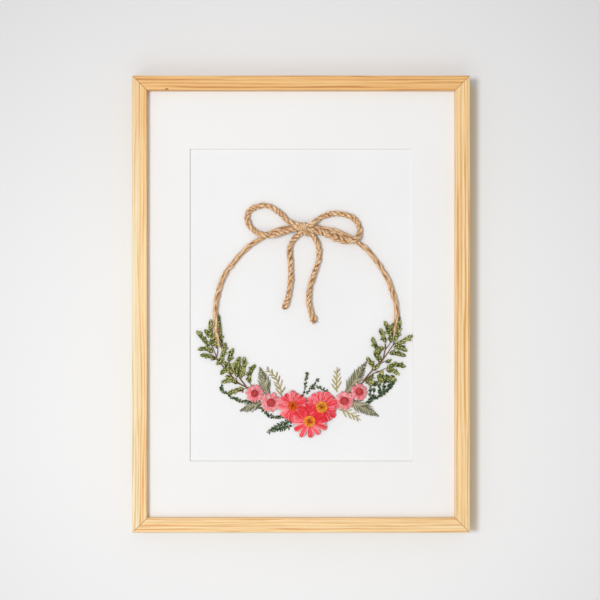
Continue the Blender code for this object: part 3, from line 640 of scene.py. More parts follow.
def blade(build, base, turn, length, width, shape, rise=0.0, own=0.5, cup=0.25, curl=0.0):
    """A small closed leaf from its base. turn is its direction in radians, shape a list of
    (share of its length, share of its width), rise how far its tip lifts, curl how far it bends."""
    points, tones = [], []
    for share, spread in shape:
        angle = turn + curl * share
        forward = Vector((math.cos(angle), math.sin(angle), 0))
        side = Vector((-math.sin(angle), math.cos(angle), 0))
        middle = Vector(base) + forward * length * share + Vector((0, 0, rise * share))
        half = width * spread / 2
        lift = cup * half
        raised, thick = Vector((0, 0, lift)), Vector((0, 0, BLADE_THICKNESS / 2))
        points += [
            middle + side * half + raised, middle - thick, middle - side * half + raised, middle + thick,
        ]
        tones += [(share, 1.0, own), (share, 0.0, own), (share, -1.0, own), (share, 0.0, own)]
    end = len(points) - 4
    ends = [(3, 2, 1, 0), (end, end + 1, end + 2, end + 3)]
    build.add(points, band_faces(len(shape), 4) + ends, tones)


def sheet(build, rows, thickness, tones, grains):
    """A closed thin sheet from rows of points on its upper side, thickened towards the card."""
    across, top = len(rows[0]), [point for row in rows for point in row]
    under = [point - Vector((0, 0, thickness)) for point in top]
    below = len(top)
    last_row = below - across
    faces = []
    for start in range(0, last_row, across):
        for here in range(start, start + across - 1):
            quad = (here, here + 1, here + across + 1, here + across)
            faces.append(quad)
            faces.append(tuple(below + corner for corner in reversed(quad)))
    border = [*range(across), *range(2 * across - 1, below, across)]
    border += [*range(below - 2, last_row - 1, -1), *range(last_row - across, 0, -across)]
    for here, beside in zip(border, border[1:] + border[:1]):
        faces.append((beside, here, below + here, below + beside))
    build.add(top + under, faces, tones + tones, grains + grains)


def dome(build, centre, radius, height, rings, top, corners, turn, tone_at):
    """A closed dome: rings of (share of its height, share of its radius), then its top's share.
    tone_at gives a point's tone from its share of the radius."""
    points, tones = [], []
    for rise, spread in [*rings, (rings[0][0], 0), (top, 0)]:
        for corner in range(corners if spread else 1):
            angle = 2 * math.pi * corner / corners + turn
            points.append((
                centre[0] + math.cos(angle) * radius * spread,
                centre[1] + math.sin(angle) * radius * spread, centre[2] + rise * height,
            ))
            tones.append(tone_at(spread))
    build.add(points, loop_faces(len(rings), corners), tones)


# ---------------- jute hoop and bow

HOOP_CENTRE = (4.1, -12.0)
HOOP_RADIUS = 85.3
HOOP_START_DEGREES = -11.5
HOOP_END_DEGREES = 199.5
HOOP_CORD = 4.5
BOW_CORD = 5.0
CARD_GAP = 0.3
CROSSING_CLIMB = 5.1
CROSSING_REACH = 10.0
PINCH_DEPTH = 1.1
PINCH_REACH = 12
HOOP_STEP = 0.9
BOW_STEP = 0.6
HOOP_TAPER_DEGREES = 12

LEFT_LOOP = [
    (2, 73), (-4.5, 74.4), (-11.7, 77.7), (-18, 84), (-24.3, 89.1), (-29.4, 92),
    (-35.2, 92.8), (-41.1, 92), (-47.4, 89.1), (-50.6, 84.5), (-50.6, 78.6), (-47.7, 72.8),
    (-43.6, 68.6), (-37.5, 65.6), (-30.5, 64.6), (-24, 65.2), (-17.5, 67.3), (-11, 69.6),
    (-4, 71), (1, 71),
]
RIGHT_LOOP = [
    (3, 72.4), (10, 75), (15.8, 79.8), (23, 83.6), (30.2, 85.3), (37.3, 84.9),
    (44.5, 83.4), (50.7, 79.3), (54.6, 73.2), (55, 66.8), (52, 61.8), (46, 59.4),
    (39.4, 59.2), (32.4, 61.6), (25, 64.6), (17.5, 67.4), (10, 69.6), (4, 70.4),
]
LEFT_TAIL = [
    (1.4, 69), (-2.6, 65), (-6.6, 61.3), (-9.7, 56.2), (-10.8, 50.5), (-10.2, 41.8),
    (-9.8, 33.4), (-9.6, 25.3), (-10.4, 17.3), (-11.6, 9.2), (-13.6, 1.8), (-16.4, -4.3),
]
RIGHT_TAIL = [
    (4.6, 68.8), (9.4, 66.2), (13.4, 61.4), (15.9, 55.4), (17.1, 48.6), (16.5, 42.5),
    (14.5, 34.9), (11.3, 25.8), (9, 18.3), (7.5, 11), (7.3, 3.8), (8.4, -4.3),
    (10.4, -11.3), (12.7, -16.7),
]
KNOT = (2.3, 70.6)


def distance_from_hoop(place):
    reach = math.hypot(place[0] - HOOP_CENTRE[0], place[1] - HOOP_CENTRE[1])
    return abs(reach - HOOP_RADIUS)


def bow_lift(place):
    """The bow's cord lies on the card, climbs over the hoop, and is pinched low in its knot."""
    near = max(0.0, 1 - distance_from_hoop(place) / CROSSING_REACH)
    lift = CARD_GAP + BOW_CORD / 2 + CROSSING_CLIMB * (0.5 - 0.5 * math.cos(math.pi * near))
    from_knot = math.dist(place[:2], KNOT)
    return lift - PINCH_DEPTH * max(0.0, 1 - from_knot / PINCH_REACH)


PLY_CORNERS = 18
PLY_RIDGES = 6
PLY_RADIUS_SHARE = 0.61
PLY_OFFSET_SHARE = 0.46
HOOP_PITCH = 130
BOW_PITCH = 17
WRAP_PITCH = 26


def strand(build, path, radii, pitch, chance, cut_end=False):
    """Three plies twisted round a path, each a bundle of fibres with its own twist."""
    frames = frames_along(path)
    length = frames[-1][4]
    ply_pitch = -pitch * 0.8
    wobble = [chance.uniform(0, 6.28) for _ in range(12)]
    for ply in range(3):
        points, tones, grains = [], [], []
        for (point, tangent, normal, binormal, run), whole in zip(frames, radii):
            ply_radius = whole * PLY_RADIUS_SHARE
            offset = whole * PLY_OFFSET_SHARE
            turn = 2 * math.pi * (run / pitch + ply / 3) + 0.7 * math.sin(run * 0.23 + wobble[0])
            turn += 0.3 * math.sin(run * 0.47 + wobble[ply])
            # painted shade: the plies darken through the jute's crevice shade over the last 1.6 mm before a
            # cut end
            painted_end_shade = 0.45 * max(0.0, 1 - (length - run) / 1.6) if cut_end else 0.0
            outward = normal * math.cos(turn) + binormal * math.sin(turn)
            centre = point + outward * offset
            lump = 1 + 0.09 * math.sin(run * 0.8 + wobble[3 + ply])
            lump += 0.06 * math.sin(run * 2.1 + wobble[6 + ply])
            own_turn = 2 * math.pi * run / ply_pitch
            for corner in range(PLY_CORNERS):
                angle = 2 * math.pi * corner / PLY_CORNERS
                ridge = 0.11 * math.sin(PLY_RIDGES * (angle - own_turn) + wobble[9 + ply])
                ridge += 0.05 * math.sin(3 * (angle + own_turn) + run)
                direction = normal * math.cos(angle) + binormal * math.sin(angle)
                place = centre + direction * ply_radius * (lump + ridge)
                points.append(place)
                proud = (place - point).length / (offset + ply_radius) - painted_end_shade
                tones.append((ply / 3, proud, ply / 3))
                grain_turn = angle - own_turn
                grains.append((
                    math.cos(grain_turn) * 1.3 + ply * 9, math.sin(grain_turn) * 1.3, run * 0.11,
                ))
        caps = []
        for end, sign, ring in ((0, -1, points[:PLY_CORNERS]), (-1, 1, points[-PLY_CORNERS:])):
            _, tangent, _, _, run = frames[end]
            caps.append(sum(ring, Vector()) / PLY_CORNERS + tangent * sign * radii[end] * 0.35)
            # the end caps take a low proud value, so they get the jute's painted crevice shade
            tones.append((ply / 3, 0.45, ply / 3))
            grains.append((ply * 9, 0, run * 0.11))
        build.add(points + caps, loop_faces(len(frames), PLY_CORNERS), tones, grains)


def fibre(build, start, run, bend, lowest, radii, corners, own):
    """A loose fibre that runs from its start, bends away and stays off the card."""
    route = []
    for i in range(len(radii)):
        share = i / (len(radii) - 1)
        place = start + run * share + bend * share ** 2
        place.z = max(place.z, lowest)
        route.append(place)
    tube(build, route, radii, corners, 1.0, own)


FIBRE_SPACING = 1.2
STRAY_RADII = [0.1 - 0.012 * i for i in range(6)]
TUFT_RADII = [0.2, 0.2, 0.17, 0.13, 0.06]


def stray_fibres(build, path, radii, chance):
    """Loose fibres that stand off the cord."""
    frames = frames_along(path)
    step = max(1, round(FIBRE_SPACING / (path[1] - path[0]).length))
    for i in range(step, len(frames) - step, step):
        point, tangent, normal, binormal, _ = frames[i + chance.randint(-step // 2, step // 2)]
        angle = chance.uniform(-0.3, math.pi + 0.3)
        outward = normal * math.sin(angle) + binormal * math.cos(angle)
        start = point + outward * radii[i] * 0.95
        length = chance.uniform(1.5, 4.5)
        sense = chance.choice((-1, 1))
        lean = chance.uniform(0.15, 0.6)
        droop = Vector((chance.uniform(-1, 1), chance.uniform(-1, 1), -0.3)) * 0.25
        run, bend = tangent * sense * length, (outward * lean + droop) * length
        fibre(build, start, run, bend, 0.15, STRAY_RADII, 3, chance.random())


def end_tuft(build, path, radius, count, length, chance):
    """Cut fibres that spread from the end of a cord."""
    point, tangent = path[-1], (path[-1] - path[-3]).normalized()
    side = Vector((-tangent.y, tangent.x, 0)).normalized()
    for _ in range(count):
        spread = chance.uniform(-1, 1)
        raise_by = chance.uniform(-0.8, 0.9)
        start = point - tangent * 1.2 + side * spread * radius * 0.7
        start += Vector((0, 0, raise_by * radius * 0.6))
        reach = length * chance.uniform(0.6, 1.1)
        bend = side * spread * reach * 0.5 + Vector((0, 0, raise_by * reach * 0.25))
        fibre(build, start, tangent * reach, bend, 0.2, TUFT_RADII, 4, chance.random())


def make_hoop(paint):
    chance = random.Random(11)
    build = Build()
    sweep = HOOP_END_DEGREES - HOOP_START_DEGREES
    steps = round(math.radians(sweep) * HOOP_RADIUS / HOOP_STEP)
    lift = CARD_GAP + HOOP_CORD / 2
    path, radii = [], []
    for i in range(steps + 1):
        share = i / steps
        degrees = HOOP_START_DEGREES + sweep * share
        angle = math.radians(degrees)
        from_end = min(degrees - HOOP_START_DEGREES, HOOP_END_DEGREES - degrees)
        taper = 0.3 + 0.7 * min(1.0, from_end / HOOP_TAPER_DEGREES) ** 0.8
        wander = 0.35 * math.sin(angle * 7 + 1) + 0.2 * math.sin(angle * 17)
        reach = HOOP_RADIUS + wander
        path.append(Vector((
            HOOP_CENTRE[0] + reach * math.cos(angle), HOOP_CENTRE[1] + reach * math.sin(angle),
            lift + 0.15 * math.sin(angle * 9) + (1 - taper) * 0.9,
        )))
        radii.append(HOOP_CORD / 2 * taper * (1 + 0.04 * math.sin(angle * 31)))
    strand(build, path, radii, HOOP_PITCH, chance)
    loose = Build()
    stray_fibres(loose, path, radii, chance)
    build.take_fibres(loose)
    build.make("twisted_jute_hoop", "jute", [paint], "jute_hoop")


def smooth_bump(value, low, high):
    """0 outside low to high, 1 in the middle of it."""
    share = (value - low) / (high - low)
    return math.sin(math.pi * share) ** 0.6 if 0 < share < 1 else 0.0


def make_bow(paint):
    chance = random.Random(23)
    build, loose = Build(), Build()
    for route in (LEFT_LOOP, RIGHT_LOOP, LEFT_TAIL, RIGHT_TAIL):
        path = [Vector((p.x, p.y, bow_lift(p))) for p in card_path(route, 0, BOW_STEP)]
        radii = []
        for i, point in enumerate(path):
            pinch = max(0.0, 1 - math.dist(point[:2], KNOT) / 9)
            radii.append(BOW_CORD / 2 * (1 - 0.25 * pinch) * (1 + 0.05 * math.sin(i * 0.17)))
        if route is RIGHT_LOOP:
            for i, point in enumerate(path):
                low_run = smooth_bump(point.x, 12, 50) if point.y < 72 and i > len(path) / 2 else 0.0
                radii[i] *= 1 + 0.36 * low_run
                path[i] += Vector((0.2, 1.0, 0)) * low_run
        if route in (LEFT_TAIL, RIGHT_TAIL):
            swell = 0.3 if route is RIGHT_TAIL else 0.12
            for i in range(12):
                radii[-1 - i] *= (1 + swell * math.sin(math.pi * (i + 1) / 12)) * min(1.0, 0.62 + 0.13 * i)
        strand(build, path, radii, BOW_PITCH, chance, cut_end=route in (LEFT_TAIL, RIGHT_TAIL))
        stray_fibres(loose, path, radii, chance)
        if route is LEFT_TAIL:
            end_tuft(loose, path, 2.1, 18, 1.6, chance)
        if route is RIGHT_TAIL:
            end_tuft(loose, path, 2.6, 46, 2.6, chance)
    wrap = smooth_path([
        (0.4, 75.2, 4.6), (0.2, 75.4, 7.4), (0.9, 74.2, 8.7), (1.8, 71.8, 8.9), (2.8, 69.0, 8.9),
        (3.8, 66.6, 8.5), (4.4, 65.4, 7.0), (4.4, 65.6, 4.6),
    ], 0.5)
    strand(build, wrap, [1.6] * len(wrap), WRAP_PITCH, chance)
    second = [point + Vector((1.9, 0.5, -0.35)) for point in wrap]
    strand(build, second, [1.5] * len(second), WRAP_PITCH, chance)
    build.take_fibres(loose)
    build.make("twisted_jute_bow", "jute", [paint], "jute_bow")


# ---------------- daisies

SMALL_PETAL_LIFT = 3.6
LARGE_PETAL_LIFT = 4.3
TOP_PETAL_LIFT = 5.0
TIP_LIFT = 1.2
PETAL_THICKNESS = 0.14
DISC_ABOVE_PETALS = 0.7
CORAL_PETAL_WIDTHS = 5.9, 6.2, 6.2
PINK_PETAL_WIDTH = 2.6

# Middle on the card, petal radius, disc radius, number of petals, lift of the petals.
CORAL_DAISIES = [
    ((-7.8, -95.8), 14.3, 4.7, 15, LARGE_PETAL_LIFT),
    ((19.4, -96.8), 15.5, 5.4, 17, LARGE_PETAL_LIFT),
    ((8.0, -110.2), 17.3, 5.4, 12, TOP_PETAL_LIFT),
]
PINK_DAISIES = [
    ((-43.9, -84.0), 8.8, 3.4, 17, SMALL_PETAL_LIFT),
    ((-28.4, -92.7), 9.8, 3.9, 18, SMALL_PETAL_LIFT),
    ((40.7, -91.0), 9.4, 3.8, 17, SMALL_PETAL_LIFT),
    ((54.6, -82.4), 8.4, 3.6, 16, SMALL_PETAL_LIFT),
]


class Petal:
    """One petal: where it grows from, its direction, length, width and notched tip."""

    def __init__(self, centre, radius, start, turn, width, lift, chance):
        self.centre = Vector((*centre, 0))
        self.start = start
        self.length = radius - start
        self.turn = turn
        self.width = width
        self.lift = lift
        self.tilt = chance.uniform(-0.12, 0.12)
        self.bend = chance.uniform(-0.08, 0.08)
        self.own = chance.random()
        self.notch = chance.uniform(0.5, 1.5)
        self.wave = chance.uniform(0, 6.28)
        self.fall = 0.0

    def half_width(self, share):
        body = 0.5 + 0.5 * math.sin(math.pi * min(1.0, 0.02 + share * 0.7)) ** 1.1
        if share > 0.78:
            body *= math.sqrt(max(0.0, 1 - ((share - 0.78) / 0.25) ** 2.2))
        return self.width / 2 * body

    def axes(self, share):
        angle = self.turn + self.bend * share
        return (Vector((math.cos(angle), math.sin(angle), 0)),
                Vector((-math.sin(angle), math.cos(angle), 0)))

    def place(self, share, across):
        forward, side = self.axes(share)
        notch = 0.0
        if share > 0.86:
            teeth = 0.5 - 0.5 * math.cos(across * 3 * math.pi)
            notch = (share - 0.86) / 0.14 * teeth * self.length * 0.08 * self.notch
        reach = self.start + self.length * share - notch
        point = self.centre + forward * reach + side * self.half_width(share) * across
        groove = 0.1 * math.cos(across * 3 * math.pi) * min(1.0, share * 3)
        sag = 0.25 * math.sin(share * 3 + self.wave) * share
        point.z = self.lift + 0.35 * self.tilt * across * self.width + groove + sag
        point.z -= self.fall * share * share
        return point

    def covers(self, point):
        """1 where the point on the card lies inside this petal, 0 outside."""
        forward, side = self.axes(0.5)
        offset = Vector((point.x, point.y, 0)) - self.centre
        share = (offset.dot(forward) - self.start) / self.length
        if not 0 < share < 1:
            return 0
        return 1 if abs(offset.dot(side)) < self.half_width(share) else 0


def grow_petals(daisy, width, chance, layers):
    """Petals round a daisy. Their tips sink to the card where no other daisy lies below."""
    centre, radius, disc_radius, count, lift = daisy
    neighbours = [other for other in CORAL_DAISIES + PINK_DAISIES if other is not daisy]
    petals = []
    for i in range(count):
        turn = 2 * math.pi * (i + chance.uniform(-0.15, 0.15)) / count
        reach = radius * chance.uniform(0.9, 1.05)
        own_width = width * chance.uniform(0.8, 1.15)
        layer = lift + layers[i % len(layers)]
        petal = Petal(centre, reach, disc_radius * 0.72, turn, own_width, layer, chance)
        tip = petal.place(0.9, 0.0)
        over = any(math.dist(tip[:2], other[0]) < other[1] + 1.5 for other in neighbours)
        petal.fall = 0.0 if over else lift - TIP_LIFT
        petals.append(petal)
    return petals


def add_petal(build, petal, others, rows, columns):
    grid, tones, grains = [], [], []
    for i in range(rows):
        share = (i / (rows - 1)) ** 0.85
        row = []
        for k in range(columns):
            across = 2 * k / (columns - 1) - 1
            point = petal.place(share, -across)
            row.append(point)
            cover = sum(other.covers(point) for other in others)
            tones.append((share, across, petal.own))
            grains.append((min(1.0, cover * 0.6), 0.0, 0.0))
        grid.append(row)
    sheet(build, grid, PETAL_THICKNESS, tones, grains)


CUSHION = [(0.0, 1.0), (0.45, 0.98), (0.75, 0.8), (0.85, 0.5)]
FLORET = [(-0.5, 0.8), (0.35, 1.0), (0.8, 0.55)]
GOLDEN_ANGLE = 2.39996


def add_disc(build, centre, radius, lift, count, chance):
    """A domed cushion covered with florets in a spiral."""
    dome(build, (*centre, lift), radius, 1.0, CUSHION, 0.8, 20, 0.0, lambda spread: (spread, 0, 0.3))
    for i in range(count):
        share = math.sqrt((i + 0.5) / count)
        angle = i * GOLDEN_ANGLE
        own = chance.random()
        size = radius * 1.05 / math.sqrt(count) * chance.uniform(0.8, 1.15)
        height = 0.42 * chance.uniform(0.7, 1.3)
        reach = radius * share * 0.97
        spot = (centre[0] + math.cos(angle) * reach, centre[1] + math.sin(angle) * reach,
                lift + 0.9 - 0.55 * share ** 4)
        dome(build, spot, size, height, FLORET, 1.0, 6, own * 6, lambda _: (share, 0, own))


def make_daisy(name, daisy, petals, others, grid, floret_count, chance, looks):
    """A daisy's petals, which the others may cover, and the florets of its disc."""
    (petal_slot, petal_look), (disc_slot, disc_look) = looks
    rays, florets = Build(), Build()
    for petal in petals:
        add_petal(rays, petal, [other for other in others if other is not petal], *grid)
    rays.make(name + "_ray_petals", petal_slot, [petal_look], name + "_petals")
    add_disc(florets, daisy[0], daisy[2], daisy[4] + DISC_ABOVE_PETALS, floret_count, chance)
    florets.make(name + "_florets", disc_slot, [disc_look], name + "_disc")


def make_daisies(coral, pink, coral_discs, rose):
    chance = random.Random(5)
    coral_petals = [grow_petals(daisy, width, chance, (0.0, 0.3, 0.15))
                    for daisy, width in zip(CORAL_DAISIES, CORAL_PETAL_WIDTHS)]
    every_coral = [petal for petals in coral_petals for petal in petals]
    for number, (daisy, petals, look) in enumerate(zip(CORAL_DAISIES, coral_petals, coral_discs), 1):
        looks = ("coral_petal", coral), ("yellow_disc", look)
        make_daisy(f"coral_daisy_{number}", daisy, petals, every_coral, (11, 9), 120, chance, looks)
    for number, daisy in enumerate(PINK_DAISIES, 1):
        petals = grow_petals(daisy, PINK_PETAL_WIDTH, chance, (0.0, 0.2))
        looks = ("pink_petal", pink), ("rose_disc", rose)
        make_daisy(f"pink_daisy_{number}", daisy, petals, petals, (9, 7), 90, chance, looks)


# ---------------- ferns

SERRATED_LEAVES = [
    ((-31.6, -84.5), (-39, -59), 12.4),
    ((-37.9, -92.9), (-58.2, -100.8), 10.4),
    ((43.4, -83.8), (62, -54), 13.6),
    ((47.3, -92), (73.4, -106), 12.8),
]
COMB_FERNS = [
    [(-18.8, -86.7), (-19.3, -81.0), (-21.7, -74.8), (-25.0, -68.1), (-32.7, -61.0)],
    [(33.6, -82.8), (33.2, -73.9), (33.9, -59.5)],
    [(36.0, -99.3), (45.4, -103.0), (56.2, -109.5)],
]
TOOTH_SHAPE = [(0.0, 0.9), (0.35, 1.0), (0.55, 0.8), (0.8, 0.5), (1.0, 0.06)]
NARROW_SHAPE = [(0.0, 0.7), (0.3, 1.0), (0.75, 0.95), (0.93, 0.6), (1.0, 0.15)]
BED_SHAPE = [(0.0, 0.5), (0.5, 1.0), (1.0, 0.5)]
OVAL_SHAPE = [(0.0, 0.2), (0.25, 0.85), (0.55, 1.0), (0.85, 0.65), (1.0, 0.1)]


TOOTH_SPACING = 3.1


def make_serrated_leaf(number, base, tip, width, paint, chance):
    """A narrow blade along a midrib, with pointed teeth that stand off both its sides."""
    build = Build()
    start, end = Vector((*base, 1.0)), Vector((*tip, 1.0))
    turn, length = heading(start, end), (end - start).length
    steps = round(length / TOOTH_SPACING)
    rib = [start.lerp(end, i / 10) + Vector((0, 0, 0.2)) for i in range(11)]
    tube(build, rib, [0.36 - 0.024 * i for i in range(11)], 5, 0.7, 0.9)
    spine = [(i / 12, leaf_spread(i / 12) * 0.95 + 0.05) for i in range(13)]
    blade(build, start, turn, length, width * 0.5, spine, 0.0, 0.55, 0.05)
    for i in range(steps):
        share = (i + 0.1) / steps
        for side in (1, -1):
            ahead = share + 0.55 * width / length * leaf_spread(share)
            half = width / 2 * leaf_spread(ahead) * chance.uniform(0.95, 1.15)
            at = start.lerp(end, max(0.0, share + side * 0.15 / steps))
            blade(build, at, turn + side * (0.66 + chance.uniform(-0.05, 0.05)),
                  max(1.8, half / math.sin(0.62)), 1.7, TOOTH_SHAPE, chance.uniform(-0.2, 0.3),
                  chance.random(), 0.3, -side * 0.08)
    build.make(f"serrated_leaf_{number}_leaflets", "grey_leaf", [paint], f"serrated_leaf_{number}")


def leaf_spread(share):
    """How wide a serrated leaf is at a share of its length, where 1 is its widest."""
    return math.sin(math.pi * min(1.0, 0.3 + 0.7 * share)) ** 0.75


LEAFLET_SPACING = 5


def make_comb_fern(number, route, paint, chance):
    build = Build()
    path = card_path(route, 1.3, 1.0)
    tube(build, path, [0.5 - 0.2 * i / (len(path) - 1) for i in range(len(path))], 6, 0.6, 0.5)
    for i in range(1, len(path) - 3, LEAFLET_SPACING):
        turn = heading(path[i], path[i + 1])
        share = i / len(path)
        for side, shift in ((1, 0), (-1, LEAFLET_SPACING // 2)):
            at = path[min(i + shift, len(path) - 1)]
            length = 8.4 * (1 - 0.62 * share) * chance.uniform(0.85, 1.1)
            blade(build, at, turn + side * chance.uniform(0.7, 0.86), length, 1.05, NARROW_SHAPE,
                  chance.uniform(-0.1, 0.4), chance.random(), 0.3, -side * 0.16)
    build.make(f"comb_fern_{number}_leaflets", "olive_fern", [paint], f"comb_fern_{number}")


# ---------------- sprays

# Each piece of a spray: its bare twigs, then its leafy fingers, each from its base to its tip
# through places on the card, with the lift of its middle.
LEFT_SPRAY = {
    "stem": (
        [[(-48, -80), (-58.9, -74.5), (-65.9, -67.5), (-72.9, -59.7), (-80.7, -49.5)],
         [(-52, -77.5), (-57.5, -70.5), (-60.5, -66)],
         [(-54.8, -80.2), (-55.2, -83.4)],
         [(-72, -60.5), (-70.8, -55.5)]],
        [],
    ),
    "tip": (
        [[(-74.6, -44), (-75.6, -38)]],
        [[(-75.2, -40.5), (-76.6, -28), (-77.4, -19), (-78.4, -11.6)]],
    ),
    "outer_branch": (
        [[(-79.5, -50.5), (-82.6, -43), (-84, -38)], [(-79.9, -50.5), (-78.6, -44), (-79.6, -36)]],
        [[(-83.4, -40.6), (-84.6, -31), (-85.6, -23.4), (-85.2, -16.6)],
         [(-86.2, -40), (-92.5, -32.6), (-97.4, -26.8)],
         [(-82.8, -46), (-89.3, -42.2), (-95.4, -42.4)],
         [(-85.4, -32), (-89.6, -26)],
         [(-79.8, -42), (-80.6, -33), (-80.4, -27)]],
    ),
    "middle_branch": (
        [[(-76.5, -56.5), (-80, -52)]],
        [[(-80.2, -52.4), (-87, -48.8), (-93, -48.2)],
         [(-76.8, -54.8), (-73.6, -45.6), (-71.8, -38.6)],
         [(-73.4, -53.6), (-78, -55.6)]],
    ),
    "inner_branch": (
        [[(-66.4, -67.8), (-68.4, -60), (-68, -54)], [(-57.5, -71.5), (-55.5, -66)]],
        [[(-68.6, -54.6), (-66.8, -48.4), (-65, -43.8)],
         [(-65.6, -66.4), (-62.4, -58), (-58.6, -51.4)],
         [(-57.2, -69.6), (-54.4, -60), (-53.8, -52.2)],
         [(-67, -63.6), (-71.4, -61.8), (-74.4, -64.6)],
         [(-66, -66), (-68.6, -59), (-72, -55.6)],
         [(-61, -69.4), (-59.4, -62), (-59.2, -57.4)]],
    ),
    "lower_branch": (
        [[(-58, -75.6), (-61, -73.4)]],
        [[(-59.4, -75.2), (-66, -71.8), (-72.6, -73.2)],
         [(-63.8, -70.6), (-69.6, -68.6)]],
    ),
    "low_spike": (
        [[(-50.8, -79.4), (-56, -80)]],
        [[(-53.6, -80), (-61.6, -81.4), (-67.8, -84.2)]],
    ),
    "upright_sprig": (
        [[(-46, -79), (-48.4, -74)]],
        [[(-48.4, -75), (-49, -68.6), (-47.2, -62.6), (-44.4, -58.6)]],
    ),
}
RIGHT_SPRAY = {
    "stem": (
        [[(56, -76), (64.6, -65.1), (75.6, -54.2), (84.9, -40.9), (88.4, -37)],
         [(57.6, -74.2), (66.4, -66.6), (73, -63)],
         [(77.1, -52.4), (79.2, -42), (79.6, -38)]],
        [],
    ),
    "tip": (
        [[(86.4, -38.6), (88.8, -32)]],
        [[(88, -39.4), (96, -34.8), (102.8, -30.6)],
         [(86.6, -36.4), (89.8, -30.4), (92, -21.4), (91.8, -12.6)]],
    ),
    "outer_branch": (
        [[(74, -56.4), (80.6, -53)], [(71, -64.8), (80.6, -60)]],
        [[(87, -40.6), (93, -41.2), (97.6, -43.2)],
         [(82.6, -46), (89.6, -46.6), (96.4, -48.2)],
         [(80.4, -60.2), (87.6, -57.2), (96.4, -58.6)],
         [(79.6, -62), (86.4, -62.8), (90.6, -65.4)],
         [(79.4, -55.4), (83, -53.4)]],
    ),
    "inner_branch": (
        [[(79, -43), (83, -38), (84.6, -34.6)], [(79, -42.4), (79, -36)]],
        [[(83.6, -29.6), (81.4, -23), (79.4, -18.2)],
         [(79.8, -36.4), (77, -30), (74.9, -24.8)],
         [(74.2, -45.4), (70, -39.2), (67.4, -33.4)],
         [(84.6, -36.4), (84.6, -28), (86.2, -19.8)],
         [(78.4, -40.6), (75, -42.6), (72.4, -47)]],
    ),
    "near_branch": (
        [[(66, -64.4), (67.4, -59)], [(73.4, -56.4), (72.6, -52.6)]],
        [[(68.4, -59.6), (65.4, -55.6), (63, -51.8)],
         [(76.4, -54), (72.4, -51), (69.8, -46.4)],
         [(67.4, -62.8), (70.6, -59.6), (72.2, -58)]],
    ),
    "lower_branch": (
        [[(62, -69.4), (70, -69.8)]],
        [[(60.6, -75), (64.4, -71.4), (66.2, -68.4)],
         [(72, -73.8), (80.4, -69.8), (87.8, -71.2)],
         [(72.6, -72.6), (74.6, -67.6), (75.8, -64.8)],
         [(63, -76.6), (67.6, -73.8)]],
    ),
}
SPRAY_LIFTS = {"middle_branch": 2.0, "inner_branch": 2.0, "near_branch": 2.0, "tip": 2.1}
LOW_SPRAY_LIFT = 1.3
LEAFLET = 3.2
LEAF_PITCH = 1.3
SHOOT_SPACING = 4


def leafy_shoot(build, path, chance, scale):
    """Small leaves along a path: a row on each side, which stand off it, and some on top."""
    last = len(path) - 1
    brightness = chance.uniform(0.0, 0.35)
    for i in range(1, last + 1):
        turn = heading(path[i - 1], path[i])
        near_tip = min(1.0, (last - i + 1.2) / 3.5)
        near_base = min(1.0, (i + 1.2) / 3)
        size = LEAFLET * scale * (0.72 + 0.28 * near_tip) * (0.7 + 0.3 * near_base)
        for side in (1, -1):
            spread = 0.5 + 0.36 * near_tip + chance.uniform(-0.16, 0.16)
            own = min(1.0, brightness * 0.5 + chance.random() ** 1.5 * 0.9)
            blade(build, path[i] + Vector((0, 0, chance.uniform(-0.2, 0.3))), turn + side * spread,
                  size * chance.uniform(0.82, 1.15), 1.35 * scale, OVAL_SHAPE,
                  chance.uniform(0.0, 0.6), own, 0.5, -side * 0.4)
        # painted light: the leaves on top are given lighter shades than the two side rows below them
        if i % 2 or i > last - 2:
            own = min(1.0, brightness + 0.15 + 0.85 * chance.random())
            blade(build, path[i] + Vector((0, 0, 0.45)), turn + chance.uniform(-0.5, 0.5),
                  size * chance.uniform(0.6, 0.85), 1.15 * scale, OVAL_SHAPE, chance.uniform(0.3, 0.7),
                  own, 0.5)


def painted_shade_leaf_bed(build, path):
    """Dark leaves pressed flat under the others: painted shade in the gaps between them."""
    last = len(path) - 1
    for i in range(last):
        turn = heading(path[i], path[i + 1])
        for side in (1, -1):
            blade(build, path[i], turn + side * 0.75, LEAFLET * 0.72, 2.0, BED_SHAPE, 0.0, 0.0, 0.1)


def leafy_finger(build, route, lift, chance):
    """A leafy twig with shorter leafy shoots off both its sides."""
    path = card_path(route, lift, LEAF_PITCH)
    build.material = 1
    tube(build, path, [0.34] * len(path), 5, 0.8, 0.3)
    build.material = 0
    # painted shade: a bed of the darkest leaves half a millimetre under the twig
    shade = [point - Vector((0, 0, 0.5)) for point in path[1:]]
    if len(shade) > 2:
        painted_shade_leaf_bed(build, shade)
    leafy_shoot(build, path, chance, 1.0)
    for i in range(1, len(path) - 4, SHOOT_SPACING):
        ahead = (path[i + 1] - path[i]).normalized()
        side = chance.choice((-1, 1))
        away = Vector((-ahead.y, ahead.x, 0)) * side
        length = chance.uniform(1.8, 3.6)
        shoot = [path[i] + (ahead * 0.8 + away * 0.6) * length * k / 2 for k in range(3)]
        leafy_shoot(build, shoot, chance, 0.85)


def make_sprays(leaf, twig):
    chance = random.Random(31)
    for side, spray in (("left_spray_", LEFT_SPRAY), ("right_spray_", RIGHT_SPRAY)):
        for name, (twigs, fingers) in spray.items():
            build = Build()
            lift = SPRAY_LIFTS.get(name, LOW_SPRAY_LIFT)
            build.material = 1
            for route in twigs:
                path = card_path(route, lift, 1.2)
                thick = 0.62 if name == "stem" else 0.42
                radii = [thick * (1 - 0.35 * i / len(path)) for i in range(len(path))]
                tube(build, path, radii, 6, 0.8, 0.2)
            for route in fingers:
                leafy_finger(build, route, lift, chance)
            build.make(side + name + "_leaves", "spray_green", [leaf, twig], side + name)


# ---------------- dark sprigs

SPRIG_LEAF_PITCH = 1.55
SPRIG_LIFT = 0.7

